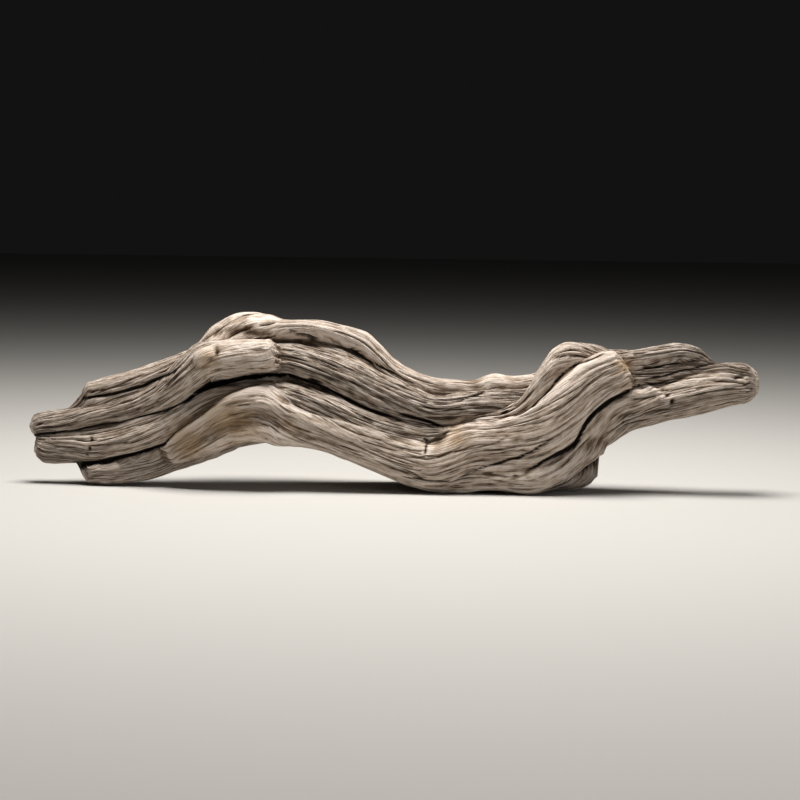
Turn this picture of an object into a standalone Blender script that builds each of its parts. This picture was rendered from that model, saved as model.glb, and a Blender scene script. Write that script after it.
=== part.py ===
"""A piece of driftwood: one weathered branch whose grain has opened into strands.

The wood is modelled the way it grew. Each strand of grain is a thick curve with
its own radius at every point, flattened a little front to back. The strands are
made solid, fused into one skin, smoothed as water smooths wood, and worn flat
where the piece lies on the surface under it.

The piece lies along X, its knuckle up, resting at z = 0 with the middle of its
box over the origin. Metres, +Z up.
"""

import math

import bmesh
import bpy
from mathutils import Matrix, Vector

LENGTH = 0.450  # tip to tip along X
UNIT = LENGTH / 450  # the strands below are drawn for a piece 450 units long

SKIN_VOXEL = 2.6 * UNIT  # how closely the fused skin follows the strands
WEAR_PASSES = 3  # rounds of smoothing, as tumbling in water wears edges
WEAR_STRENGTH = 0.5
SKIN_TRIANGLES = 6200
REST_WEAR = 0.9 * UNIT  # depth worn off the lowest spots, which makes the flats

STRAND_SIDES = 6  # bevel resolution, giving 16 sides round a strand
STEPS_PER_POINT = 5
TIP_STEPS = 3

# Each strand: its flatness (depth over height), then its points from one end to
# the other as (x, y, z, radius). -Y is the front.
STRANDS = {
    "upper_left_finger": (0.90, (
        (-219.5, 10, 35.5, 6.8), (-208, 9, 38, 7.0), (-195, 7, 40, 7.5),
        (-180, 5, 43, 7.5), (-160, 1, 48.5, 8.0), (-143, -4, 56.5, 9.5),
        (-128, -10, 68, 12.0), (-115, -14, 77.5, 12.5), (-100, -17, 80.5, 12.0),
        (-85, -17, 82, 11.5), (-78, -17, 83, 10.5),
    )),
    "lower_left_finger": (0.90, (
        (-214, 8, 22, 9.8), (-200, 5.5, 22, 10.0), (-185, 3, 23.5, 11.0),
        (-170, 1, 27, 10.7), (-155, -2, 32, 11.0), (-140, -5, 37.5, 10.5),
        (-125, -8, 46.5, 8.5), (-110, -9, 54.5, 7.5), (-92, -10, 59, 6.0),
        (-78, -10, 59, 5.0),
    )),
    "main_front": (0.80, (
        (-138, -8, 21.5, 7.0), (-128, -11, 26.5, 10.0), (-112, -15, 35, 13.5),
        (-95, -17, 43, 16.0), (-78, -18, 46, 17.5), (-62, -19, 40, 12.5),
        (-45, -20, 35, 10.5), (-28, -20, 30.5, 11.5), (-10, -19, 24.5, 13.0),
        (8, -18, 18.5, 14.5), (28, -18, 17, 16.0), (48, -18, 28, 14.5),
        (65, -18, 32, 13.5), (80, -18, 37, 15.0), (95, -17, 44.5, 18.5),
        (107, -16, 53, 19.0), (117, -16, 61.5, 17.5), (128, -16, 70.5, 15.0),
        (137, -16, 75.5, 12.5),
    )),
    "lower_front": (0.90, (
        (10, -18, 13, 9.0), (35, -20, 8.5, 8.5), (55, -20, 9.5, 8.5),
        (72, -21, 9, 8.5), (86, -21, 9.5, 9.8), (98, -19, 13.5, 10.0),
        (110, -16, 19.5, 10.5), (119, -13, 23.5, 8.5), (125, -12, 25.5, 5.0),
    )),
    "long_right_finger": (0.85, (
        (106, -5, 30, 12.0), (119, -7, 36, 12.5), (130, -7, 43, 14.0),
        (142, -6, 49.5, 13.0), (155, -6.5, 53.5, 12.0), (170, -7, 58.5, 12.8),
        (185, -7.5, 63, 13.8), (200, -8, 66, 14.2), (211, -8, 67, 13.2),
    )),
    "middle_right_finger": (0.90, (
        (138, -6, 72, 7.0), (155, -5.5, 74, 5.5), (172, -6, 76, 4.5),
        (188, -6.5, 78.5, 3.5), (196, -7, 79, 2.8),
    )),
    "upper_right_finger": (0.90, (
        (128, 2, 80, 6.5), (145, 1, 81, 6.5), (160, -1, 82.5, 7.0),
        (175, -3.5, 84, 7.0), (186, -5.5, 83.5, 5.5), (191, -6, 82, 4.5),
    )),
    "recessed_flake": (0.80, (
        (62, -4, 15, 10.0), (85, -2, 13, 9.5), (100, 1, 9, 9.5), (109, 2, 8.3, 8.5),
        (116, 2, 10.5, 7.8), (121, 2, 13.5, 6.2),
    )),
    "lower_left_lobe": (0.90, (
        (-186.5, 8, 5.2, 5.8), (-175, 7, 6, 6.8), (-160, 6, 9.5, 7.3),
        (-145, 3, 13.5, 7.8), (-130, 1, 19, 8.0), (-112, 0, 26, 9.0),
    )),
    "left_stub": (0.90, (
        (-195.5, 14, 50, 4.0), (-180, 12.5, 53, 5.0), (-165, 12, 56, 7.0),
    )),
    "top_strand": (0.95, (
        (-190, 15, 56.5, 4.5), (-178, 14, 60.5, 6.0), (-163, 13, 63.5, 6.5),
        (-148, 12, 67.5, 7.0), (-133, 10.5, 72.5, 8.0), (-120, 10, 79, 9.0),
        (-108, 10, 88, 12.0), (-93, 10, 94, 13.0), (-78, 8, 93.5, 12.0),
        (-66, 6, 96.5, 7.0), (-50, 5, 97.5, 6.5), (-34, 4, 95, 6.5),
        (-21, 2, 90, 7.5), (-11, 0, 81.5, 8.5), (0, -1, 72, 8.0),
        (14, -1, 65, 7.8), (28, 0, 61.8, 7.0), (42, 2, 60.5, 6.5),
        (58, 4, 62.5, 8.0), (72, 5, 62, 7.5), (86, 6, 66, 7.0),
    )),
    "middle_plane": (0.80, (
        (-92, -4, 76, 9.0), (-72, -8, 80, 9.5), (-52, -10, 76, 11.5),
        (-32, -11, 70, 13.0), (-12, -12, 61.5, 13.0), (8, -12, 53.5, 12.5),
        (26, -12, 49, 10.5), (42, -11, 51.5, 9.5), (58, -10, 53.5, 9.0),
        (74, -7, 54, 9.0),
    )),
    "front_strand": (0.80, (
        (-66, -15, 58, 7.0), (-50, -17, 55.5, 8.5), (-35, -18, 50.5, 8.0),
        (-18, -19, 45, 6.8), (0, -19, 40, 6.0), (16, -18, 37.5, 6.0),
        (30, -17, 37.5, 5.0),
    )),
    "arch_strand": (0.90, (
        (54, -15, 44.5, 5.0), (68, -15, 47, 5.0), (78, -14, 52, 6.5),
        (87, -12, 61, 8.0), (97, -9, 75, 8.5), (107, -6, 83.5, 8.5),
        (117, -3, 84.5, 8.0), (128, 1, 81.5, 7.5),
    )),
    "heart": (0.95, (
        (-203, 12, 31, 6.0), (-185, 12, 34, 9.0), (-165, 11, 37, 11.0),
        (-145, 9.5, 43, 12.0), (-125, 8, 52, 12.0), (-105, 7, 60, 13.5),
        (-85, 6, 64, 14.0), (-60, 4, 64, 14.0), (-35, 2, 59, 15.0),
        (-10, 0, 49, 15.0), (15, 0, 41, 14.0), (40, 0, 39, 14.0),
        (65, 0, 39, 14.0), (88, -2, 45, 14.0), (108, -3, 55, 14.0),
        (125, -4, 65, 12.0), (140, -4, 70, 9.0),
    )),
    "lower_heart": (0.95, (
        (-112, 0, 27, 9.0), (-92, 0, 36, 11.0), (-70, 0, 40.5, 13.0),
        (-48, 0, 37, 13.0), (-25, 0, 30, 14.0), (0, 0, 24, 15.0),
        (25, 1, 21, 15.0), (50, 1, 23, 15.0), (75, 0, 28, 15.0),
        (98, -2, 34, 14.0), (118, -2, 41, 13.0),
    )),
    "back_foot": (0.90, (
        (-128, 10, 32, 8.0), (-105, 14, 37, 10.5), (-80, 17, 39, 11.5),
        (-50, 20, 33, 12.0), (-22, 22, 23, 12.5), (5, 24, 15, 12.5),
        (30, 25, 11.5, 12.0), (52, 23, 11.5, 11.8), (75, 19, 17, 11.5),
        (98, 14, 27, 11.5), (120, 9, 39, 12.0), (142, 6, 51, 11.0),
        (163, 3, 62, 9.0), (180, 0, 69, 6.5),
    )),
    "back_middle": (0.90, (
        (-176, 13, 40, 7.0), (-155, 15, 45, 9.0), (-130, 17, 53, 11.0),
        (-105, 20, 60, 12.0), (-75, 23, 61, 12.5), (-45, 24, 54, 12.0),
        (-15, 22, 44, 12.0), (15, 20, 37, 12.0), (45, 19, 34, 12.0),
        (75, 17, 38, 12.0), (100, 13, 48, 12.0), (122, 9, 58, 12.0),
        (142, 6, 66, 10.0), (162, 3, 74, 8.0), (178, 0, 79, 5.5),
    )),
    "back_upper": (0.90, (
        (-134, 16, 66, 8.0), (-118, 20, 74, 10.0), (-98, 23, 82, 11.5),
        (-70, 22, 83, 12.0), (-42, 18, 78, 12.0), (-16, 14, 67, 12.0),
        (10, 11, 55, 12.0), (36, 12, 50, 12.0), (64, 14, 51, 12.5),
        (88, 13, 60, 12.5), (110, 9, 69, 12.5), (130, 5, 75, 11.0),
        (150, 3, 78, 8.5),
    )),
}

WOOD_COLOUR = (0.52, 0.46, 0.39, 1.0)
WOOD_ROUGHNESS = 0.9


def with_round_tips(points: list[Vector]) -> list[Vector]:
    """Adds a rounded nose to both ends: radius and reach follow a quarter circle."""
    def nose(end: Vector, inner: Vector) -> list[Vector]:
        outward = (end.xyz - inner.xyz).normalized()
        tip = []
        for step in range(TIP_STEPS, 0, -1):
            turn = step / TIP_STEPS * math.radians(80)
            centre = end.xyz + outward * end.w * math.sin(turn)
            tip.append(Vector((*centre, end.w * math.cos(turn))))
        return tip

    last = nose(points[-1], points[-2])
    return nose(points[0], points[1]) + points + last[::-1]


def smooth_path(points: list[Vector]) -> list[Vector]:
    """Reads a Catmull-Rom curve through the points, radius and all."""
    padded = [2 * points[0] - points[1], *points, 2 * points[-1] - points[-2]]
    path = []
    for a, b, c, d in zip(padded, padded[1:], padded[2:], padded[3:]):
        for step in range(STEPS_PER_POINT):
            t = step / STEPS_PER_POINT
            path.append(0.5 * (2 * b + t * (c - a) + t * t * (2 * a - 5 * b + 4 * c - d)
                               + t ** 3 * (3 * b - a - 3 * c + d)))
    return path + [points[-1]]


def strand_mesh(name: str, flatness: float, points: tuple) -> bpy.types.Mesh:
    """Makes one strand: a bevelled curve, flattened front to back, made a closed mesh."""
    path = with_round_tips(smooth_path([Vector(point) * UNIT for point in points]))
    curve = bpy.data.curves.new(name, "CURVE")
    curve.dimensions = "3D"
    curve.bevel_depth = 1.0
    curve.bevel_resolution = STRAND_SIDES
    curve.use_fill_caps = True
    spline = curve.splines.new("POLY")
    spline.points.add(len(path) - 1)
    for point, place in zip(spline.points, path):
        point.co = (place.x, place.y / flatness, place.z, 1.0)
        point.radius = place.w
    guide = bpy.data.objects.new(name, curve)
    bpy.context.scene.collection.objects.link(guide)
    bpy.context.view_layer.update()
    evaluated = guide.evaluated_get(bpy.context.evaluated_depsgraph_get())
    mesh = bpy.data.meshes.new_from_object(evaluated)
    bpy.data.objects.remove(guide)
    mesh.transform(Matrix.Diagonal((1.0, flatness, 1.0, 1.0)))
    return mesh


def bundle_of_strands() -> bpy.types.Mesh:
    """Puts every strand in one mesh, each a closed shell that overlaps its neighbours."""
    shells = bmesh.new()
    for name, (flatness, points) in STRANDS.items():
        shells.from_mesh(strand_mesh(name, flatness, points))
    bmesh.ops.remove_doubles(shells, verts=shells.verts, dist=0.01 * UNIT)
    mesh = bpy.data.meshes.new("strands")
    shells.to_mesh(mesh)
    shells.free()
    return mesh


def add_modifier(piece: bpy.types.Object, kind: str, **settings) -> bpy.types.Modifier:
    """Adds a modifier of this kind with its settings."""
    modifier = piece.modifiers.new(kind.title(), kind)
    for key, value in settings.items():
        setattr(modifier, key, value)
    return modifier


def evaluated_mesh(piece: bpy.types.Object) -> bpy.types.Mesh:
    """Returns the piece's mesh with its modifiers worked in."""
    bpy.context.view_layer.update()
    evaluated = piece.evaluated_get(bpy.context.evaluated_depsgraph_get())
    return bpy.data.meshes.new_from_object(evaluated)


def fused_skin(bundle: bpy.types.Mesh) -> bpy.types.Mesh:
    """Fuses the strands into one worn skin of about SKIN_TRIANGLES triangles."""
    piece = bpy.data.objects.new("fusing", bundle)
    bpy.context.scene.collection.objects.link(piece)
    add_modifier(piece, "REMESH", mode="VOXEL", voxel_size=SKIN_VOXEL)
    add_modifier(piece, "SMOOTH", factor=WEAR_STRENGTH, iterations=WEAR_PASSES)
    dense = evaluated_mesh(piece)
    dense.calc_loop_triangles()
    share = SKIN_TRIANGLES / len(dense.loop_triangles)
    add_modifier(piece, "DECIMATE", decimate_type="COLLAPSE", ratio=share,
                 use_collapse_triangulate=True)
    skin = evaluated_mesh(piece)
    bpy.data.objects.remove(piece)
    return skin


def place_on_its_rest(skin: bpy.types.Mesh) -> None:
    """Scales the skin to LENGTH, centres it on X and Y and sinks its lowest spots."""
    def corners() -> tuple[Vector, Vector]:
        axes = list(zip(*(vertex.co for vertex in skin.vertices)))
        return Vector([min(axis) for axis in axes]), Vector([max(axis) for axis in axes])

    low, high = corners()
    skin.transform(Matrix.Scale(LENGTH / (high.x - low.x), 4))
    low, high = corners()
    middle = (low + high) / 2
    skin.transform(Matrix.Translation((-middle.x, -middle.y, -low.z - REST_WEAR)))


def ground_cutter(collection: bpy.types.Collection) -> bpy.types.Object:
    """Makes the block under z = 0 that wears the resting flats."""
    form = bmesh.new()
    bmesh.ops.create_cube(form, size=1.0)
    depth = 20 * UNIT
    form.transform(Matrix.Translation((0, 0, -depth / 2))
                   @ Matrix.Diagonal((1.2 * LENGTH, 0.4 * LENGTH, depth, 1.0)))
    mesh = bpy.data.meshes.new("ground_cutter")
    form.to_mesh(mesh)
    form.free()
    cutter = bpy.data.objects.new("ground_cutter", mesh)
    cutter.display_type = "WIRE"
    cutter.hide_render = True
    collection.objects.link(cutter)
    return cutter


def weathered_wood() -> bpy.types.Material:
    """Bare wood bleached by sun and water: pale, matt, with no metal in it."""
    material = bpy.data.materials.new("weathered_wood")
    material.use_nodes = True
    shader = material.node_tree.nodes["Principled BSDF"]
    shader.inputs["Base Color"].default_value = WOOD_COLOUR
    shader.inputs["Roughness"].default_value = WOOD_ROUGHNESS
    shader.inputs["Metallic"].default_value = 0.0
    return material


def new_collection(name: str) -> bpy.types.Collection:
    """Adds an empty collection to the scene."""
    collection = bpy.data.collections.new(name)
    bpy.context.scene.collection.children.link(collection)
    return collection


def main() -> None:
    """Builds the driftwood from an empty scene."""
    for leftover in list(bpy.data.objects):
        bpy.data.objects.remove(leftover)
    parts = new_collection("driftwood_piece")
    cutters = new_collection("cutters")
    skin = fused_skin(bundle_of_strands())
    skin.name = "driftwood"
    place_on_its_rest(skin)
    skin.materials.clear()
    skin.materials.append(weathered_wood())
    driftwood = bpy.data.objects.new("driftwood", skin)
    parts.objects.link(driftwood)
    add_modifier(driftwood, "BOOLEAN", operation="DIFFERENCE", solver="EXACT",
                 object=ground_cutter(cutters))


main()
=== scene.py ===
"""A piece of driftwood: one weathered branch, its grain opened into strands.

The skin is one closed surface over a bundle of strands of grain. Rings of rays leave
a spine inside the wood, each ray stops where it first meets the bundle from outside,
and the rings' points slide along the grain so that the mesh runs with it. Splits,
crests and weathered grain are then carved along the rays.
"""

import logging
import math
from collections.abc import Callable
from dataclasses import dataclass, field
from enum import Enum
from functools import partial
from typing import ClassVar

import bpy
import numpy as np
from mathutils import Matrix, Vector


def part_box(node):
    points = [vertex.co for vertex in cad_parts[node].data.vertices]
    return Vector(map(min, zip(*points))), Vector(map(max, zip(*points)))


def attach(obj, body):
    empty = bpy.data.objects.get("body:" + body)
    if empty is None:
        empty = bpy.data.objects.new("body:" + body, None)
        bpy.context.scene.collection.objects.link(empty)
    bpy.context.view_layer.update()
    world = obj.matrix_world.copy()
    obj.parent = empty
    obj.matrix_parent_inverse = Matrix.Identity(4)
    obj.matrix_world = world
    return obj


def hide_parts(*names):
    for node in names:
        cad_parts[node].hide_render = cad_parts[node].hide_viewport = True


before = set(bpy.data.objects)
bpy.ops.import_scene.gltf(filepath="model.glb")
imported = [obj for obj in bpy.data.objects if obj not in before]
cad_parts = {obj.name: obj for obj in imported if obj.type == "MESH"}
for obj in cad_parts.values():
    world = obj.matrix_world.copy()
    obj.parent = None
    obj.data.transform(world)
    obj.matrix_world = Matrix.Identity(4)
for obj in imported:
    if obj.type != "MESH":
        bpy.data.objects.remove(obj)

log = logging.getLogger("driftwood")
Array = np.ndarray

NODE = "driftwood"

# The strands and marks below are drawn in millimetres for a piece 450 long, and
# Driftwood.placed brings the skin to the modelled length.


class Side(Enum):
    """The side that a mark is seen from: the axes its path runs in, and its outward way."""

    FRONT = (0, 2, (0.0, -1.0, 0.0))
    BACK = (0, 2, (0.0, 1.0, 0.0))
    TOP = (0, 1, (0.0, 0.0, 1.0))
    UNDER = (0, 1, (0.0, 0.0, -1.0))


class Cut(Enum):
    """The cross-section of a mark: what share of its depth is left beside its middle."""

    SPLIT = "a V with soft lips"
    HOLLOW = "a round trough"
    CREST = "a raised ridge that falls away on both sides"
    BOSS = "a raised round back"


# ---------------------------------------------------------------- numbers that are drawn

@dataclass(frozen=True)
class Strand:
    """One strand of grain: a thick line of wood.

    Attributes:
        name: what the strand is.
        flatness: its depth over its height.
        roughness: how deeply its grain has weathered, 1 for the most open grain.
        points: (x, y, z, radius) from the left end to the right end.
        ragged: how far its two ends are splintered, (left, right).
        squareness: the power of its cross-section, 2 for an ellipse, more for a squarer one.
    """

    name: str
    flatness: float
    roughness: float
    points: tuple[tuple[float, float, float, float], ...]
    ragged: tuple[float, float] = (0.0, 0.0)
    squareness: float = 2.0


@dataclass(frozen=True)
class Mark:
    """A split, hollow or crest along a path over the wood, as seen from one side.

    Attributes:
        side: the side it is seen from.
        cut: its cross-section.
        points: (along, across, half width, depth) from one end to the other.
    """

    side: Side
    cut: Cut
    points: tuple[tuple[float, float, float, float], ...]
    LEAST_HALF_WIDTH: ClassVar[float] = 0.75  # the narrowest that the mesh can carry

    def height_at(self, places: Array, path: Array) -> Array:
        """Reads the mark's depth or height at places in its own plane.

        With t the distance from the path over the half width there, the share of the
        depth is (1 - t)^1.3 for a split, (1 - (t / 1.5)²)² for a hollow, (1 - t²)² for a
        boss and 1 / (1 + t²)² for a crest.

        Args:
            places: two coordinates for each point.
            path: the mark's points, read along a smooth curve.

        Returns:
            Millimetres in or out, never less than 0.
        """
        start, step = path[:-1, :2], np.diff(path[:, :2], axis=0)
        along = ((places[:, None] - start) * step).sum(-1) / (step**2).sum(-1)
        along = np.clip(along, 0.0, 1.0)
        gap = np.linalg.norm(places[:, None] - start - along[..., None] * step, axis=-1)
        nearest = gap.argmin(axis=1)
        row = np.arange(len(places))
        at = nearest + along[row, nearest]
        half_width, depth = (np.interp(at, np.arange(len(path)), path[:, i]) for i in (2, 3))
        t = gap[row, nearest] / np.maximum(half_width, self.LEAST_HALF_WIDTH)
        share = {
            Cut.SPLIT: np.clip(1.0 - t, 0.0, 1.0) ** 1.3,
            Cut.HOLLOW: np.clip(1.0 - (t / 1.5) ** 2, 0.0, 1.0) ** 2,
            Cut.BOSS: np.clip(1.0 - t**2, 0.0, 1.0) ** 2,
            Cut.CREST: 1.0 / (1.0 + t**2) ** 2,
        }[self.cut]
        return depth * share


STRANDS = (
    Strand("upper_left_finger", 0.90, 0.60, (
        (-218, 9, 35, 8.6), (-208, 8.5, 37.3, 8.5), (-195, 7, 40, 7.8),
        (-180, 5, 43, 7.5), (-160, 1, 48.5, 8.0), (-143, -4, 56.5, 9.5),
        (-128, -10, 68, 12.0), (-115, -14, 77.5, 12.5), (-100, -17, 80.5, 12.0),
        (-85, -17.5, 82, 11.5), (-70, -18.5, 83.5, 10.0),
    ), (0.3, 7.0)),
    Strand("lower_left_finger", 0.90, 0.50, (
        (-214, 8, 22, 10.1), (-200, 5.5, 22.5, 10.2), (-185, 3, 23.5, 11.0),
        (-170, 1, 27, 10.7), (-155, -2, 32, 11.0), (-140, -5, 37.5, 10.5),
        (-125, -8, 46.5, 8.5), (-110, -9, 54.5, 7.5), (-92, -10, 59, 6.0),
        (-78, -10, 59, 5.0),
    ), (0.3, 0.0)),
    Strand("main_front", 0.80, 0.30, (
        (-138, -8, 21.5, 7.0), (-128, -11, 26.5, 10.0), (-112, -15, 35.6, 13.2),
        (-95, -17, 43.8, 15.6), (-78, -18, 46, 17.5), (-62, -19, 40, 12.5),
        (-45, -20, 35.6, 10.5), (-28, -20, 31, 11.3), (-10, -19, 25.2, 12.7),
        (8, -18, 19.2, 14.2), (28, -18, 17, 16.0), (48, -18, 28, 14.5),
        (65, -18, 32, 13.5), (80, -18, 37, 15.0), (95, -17, 44.5, 18.5),
        (107, -16, 53, 19.0), (117, -16, 61.5, 17.5), (128, -16, 70.5, 15.0),
        (138.5, -16, 76.5, 12.5),
    ), (3.0, 3.0), 2.8),
    Strand("lower_front", 0.90, 0.55, (
        (10, -18, 13, 9.0), (35, -20, 8.5, 8.5), (55, -20, 9.5, 8.5),
        (72, -21, 9, 8.5), (86, -21, 9.5, 9.8), (98, -19, 14, 10.0),
        (110, -16, 21, 9.6), (119, -14, 25.5, 7.4), (128, -13, 28, 4.7),
    ), (0.0, 2.0)),
    Strand("front_fill", 0.90, 0.50, (
        (10, -12, 15, 6.0), (30, -17, 15.5, 9.0), (50, -19.5, 17.5, 9.5), (70, -20, 19.5, 9.5),
        (88, -19, 23.5, 10.0), (102, -16, 30, 9.5), (114, -13, 38, 8.5), (124, -10, 46, 7.0),
    )),
    Strand("right_shoulder", 0.90, 0.50, (
        (94, -15, 22, 7.0), (106, -14, 29, 9.0), (116, -13, 38, 10.0), (126, -12.5, 47.5, 10.5),
        (136, -12, 54.5, 9.5), (148, -10.5, 58, 8.0), (162, -9, 60.5, 6.5),
    )),
    Strand("long_right_finger", 0.85, 0.45, (
        (106, -5, 30, 12.0), (119, -7, 36, 12.5), (130, -7, 43, 14.0),
        (142, -6, 49.5, 13.0), (155, -6.5, 53.5, 12.3), (170, -7, 58.3, 13.2),
        (185, -7.5, 62.7, 14.2), (200, -8, 67, 14.6), (210.5, -8, 68.2, 13.4),
    )),
    Strand("middle_right_finger", 0.90, 0.6, (
        (128, -8, 70, 7.0), (142, -9, 71.5, 6.5), (156, -9.5, 73.4, 5.5), (172, -9.5, 75.6, 4.6),
        (188, -9, 78.5, 3.8), (196, -8.5, 79.5, 3.0),
    ), (0.0, 2.0)),
    Strand("upper_right_finger", 0.90, 0.7, (
        (128, -2, 80.5, 6.8), (145, -4, 82, 6.8), (160, -5.5, 84.2, 7.0),
        (175, -6.5, 85.7, 7.0), (185, -7, 84.8, 6.0), (192, -7, 83, 4.6),
    ), (0.0, 4.0)),
    Strand("recessed_flake", 0.80, 0.8, (
        (62, -4, 15, 10.0), (85, -3, 12.5, 9.5), (100, -1, 8.8, 9.3), (110, -1, 8.2, 8.4),
        (117, -1, 9.8, 7.9), (124, -1, 13, 6.0),
    ), (0.0, 0.5)),
    Strand("lower_left_lobe", 0.90, 0.5, (
        (-185.5, -2, 6.8, 6.6), (-175, -2, 6.9, 7.8), (-160, -2, 9.5, 8.2),
        (-145, -2, 13.5, 8.5), (-130, -2, 19, 8.7), (-112, -2, 26, 9.5),
    )),
    Strand("left_stub", 0.90, 0.6, (
        (-196, 10, 49.8, 4.2), (-180, 8, 53.3, 6.2), (-165, 6, 57.8, 6.8),
        (-150, 4, 63.0, 6.6), (-134, 1, 69.5, 6.0), (-120, -3, 77, 6.0),
    ), (1.0, 0.0)),
    Strand("top_strand", 0.95, 0.35, (
        (-188, 9.5, 58.3, 5.6), (-178, 9, 60.5, 6.2), (-163, 7, 63.8, 6.8),
        (-148, 5, 68, 7.4), (-133, 2, 73.4, 8.4), (-120, 1, 79, 9.0),
        (-108, 4, 87.6, 11.9), (-93, 5, 95.0, 13.0), (-78, 3, 95.4, 12.0),
        (-66, -2, 97.5, 7.2), (-50, -4, 98.3, 6.8), (-34, -5, 95.6, 6.8),
        (-21, -5, 90.4, 7.7), (-11, -5, 81.9, 8.6), (0, -5, 72.6, 8.2),
        (14, -5, 65.6, 8.0), (28, -4, 62.8, 7.2), (41, -3, 62.3, 7.2),
        (50, -2.5, 62.6, 6.6), (61, -2, 64.6, 8.0), (73, -1, 63.6, 7.4), (86, 0, 65.5, 7.0),
    ), (0.3, 0.0)),
    Strand("upper_plane", 0.90, 0.8, (
        (-96, 2, 88, 7.0), (-78, 0, 89, 7.5), (-58, -2, 87.5, 7.5), (-40, -3.5, 83.5, 7.5),
        (-24, -5, 77.5, 7.5), (-10, -6, 69.5, 7.5), (6, -6, 61, 7.0), (22, -6, 55.5, 6.0),
        (40, -6, 55, 5.0), (60, -5, 56, 5.0), (82, -4, 60, 5.0),
    )),
    Strand("middle_plane", 0.80, 1.0, (
        (-92, -4, 76, 9.0), (-72, -8, 80, 9.5), (-52, -10, 76, 11.5),
        (-32, -11, 70, 13.0), (-12, -12, 61.5, 13.0), (8, -12, 53.5, 12.5),
        (26, -12, 49, 10.5), (42, -11, 51.5, 9.5), (58, -10, 53.5, 9.0),
        (74, -7, 54, 9.0),
    )),
    Strand("front_strand", 0.80, 0.9, (
        (-96, -9, 55.5, 4.5), (-82, -12, 58.5, 6.5), (-66, -15, 57, 8.5), (-50, -17, 54, 9.3),
        (-35, -18, 49.2, 9.2), (-18, -18.5, 43.8, 8.2), (0, -18.5, 38.6, 7.2),
        (16, -18, 36.3, 6.4), (30, -17.5, 36.5, 5.2),
    )),
    Strand("arch_strand", 0.90, 0.4, (
        (54, -15, 44.5, 5.0), (68, -17, 47, 5.0), (78, -18, 53, 6.0),
        (86.5, -18, 63.8, 8.0), (96, -16, 76, 9.4), (106.5, -12, 83.6, 9.2),
        (118, -9, 84, 8.0), (130, -5, 81.5, 7.0),
    )),
    Strand("heart", 0.95, 0.7, (
        (-203, 12, 31, 6.0), (-185, 12, 34, 9.0), (-165, 11, 37, 11.0),
        (-145, 9.5, 43, 12.0), (-125, 8, 52, 12.0), (-105, 7, 60, 13.5),
        (-85, 6, 64, 14.0), (-60, 4, 64, 14.0), (-35, 2, 59, 15.0),
        (-10, 0, 49, 15.0), (15, 0, 41, 14.0), (40, 0, 39, 14.0),
        (65, 0, 39, 14.0), (88, -2, 45, 14.0), (108, -3, 55, 14.0),
        (125, -4, 65, 12.0), (140, -4, 70, 9.0),
    )),
    Strand("lower_heart", 0.95, 0.6, (
        (-112, 0, 27, 9.0), (-92, 0, 36, 11.0), (-70, 0, 40.5, 13.0),
        (-48, 0, 37, 13.0), (-25, 0, 30, 14.0), (0, 0, 24, 15.0),
        (25, 1, 21, 15.0), (50, 1, 23, 15.0), (75, 0, 28, 15.0),
        (98, -2, 34, 14.0), (118, -2, 41, 13.0),
    )),
    Strand("lobe_back", 0.90, 0.6, (
        (-181, 4, 14.5, 7.0), (-165, 6, 20, 9.0), (-150, 8, 26, 10.5), (-130, 9.5, 30.5, 11.5),
        (-110, 11, 34, 12.0), (-90, 13, 38, 12.0),
    )),
    Strand("back_left_shoulder", 0.90, 0.6, (
        (-184, 13, 49, 7.0), (-165, 14, 54, 8.5), (-148, 14.5, 60, 9.5), (-130, 15, 67, 10.0),
        (-112, 15, 76, 11.0), (-95, 15, 82, 12.0),
    )),
    Strand("back_foot", 0.90, 0.6, (
        (-128, 10, 32, 8.0), (-105, 14, 37, 10.5), (-80, 17, 39, 11.5),
        (-50, 20, 34.6, 12.0), (-22, 22, 25, 12.4), (5, 24, 16.4, 12.3),
        (30, 25, 11.5, 12.0), (52, 23, 11.5, 11.8), (75, 19, 17, 11.5),
        (98, 14, 27, 11.5), (120, 9, 39, 12.0), (142, 6, 51, 11.0),
        (163, 3, 62, 9.0), (180, 0, 69, 6.5),
    )),
    Strand("back_fill", 0.90, 0.7, (
        (-122, 16, 44, 9.0), (-96, 20, 49.5, 9.5), (-70, 23, 51, 9.5), (-46, 24.5, 45, 9.5),
        (-20, 24, 35, 8.5), (4, 23, 29, 7.5), (30, 22, 24, 6.5),
    )),
    Strand("back_middle", 0.90, 0.8, (
        (-176, 13, 40, 7.0), (-155, 15, 45, 9.0), (-130, 17, 53, 11.0),
        (-105, 20, 60, 12.0), (-75, 23, 61, 12.5), (-45, 24, 54, 12.0),
        (-15, 22, 44, 12.0), (15, 20, 37, 12.0), (45, 19, 34, 12.0),
        (75, 17, 38, 12.0), (100, 13, 48, 12.0), (122, 9, 58, 12.0),
        (142, 6, 66, 10.0), (162, 3, 74, 8.0), (178, 0, 79, 5.5),
    )),
    Strand("back_upper", 0.90, 0.5, (
        (-134, 16, 66, 8.0), (-118, 20, 74, 10.0), (-98, 23, 82, 11.5),
        (-70, 22, 83, 12.0), (-42, 18, 78, 12.0), (-16, 14, 67, 12.0),
        (10, 11, 55, 12.0), (36, 12, 50, 12.0), (64, 14, 51, 12.5),
        (88, 13, 60, 12.5), (110, 9, 69, 12.5), (130, 5, 75, 11.0),
        (150, 3, 78, 8.5),
    )),
)

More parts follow.
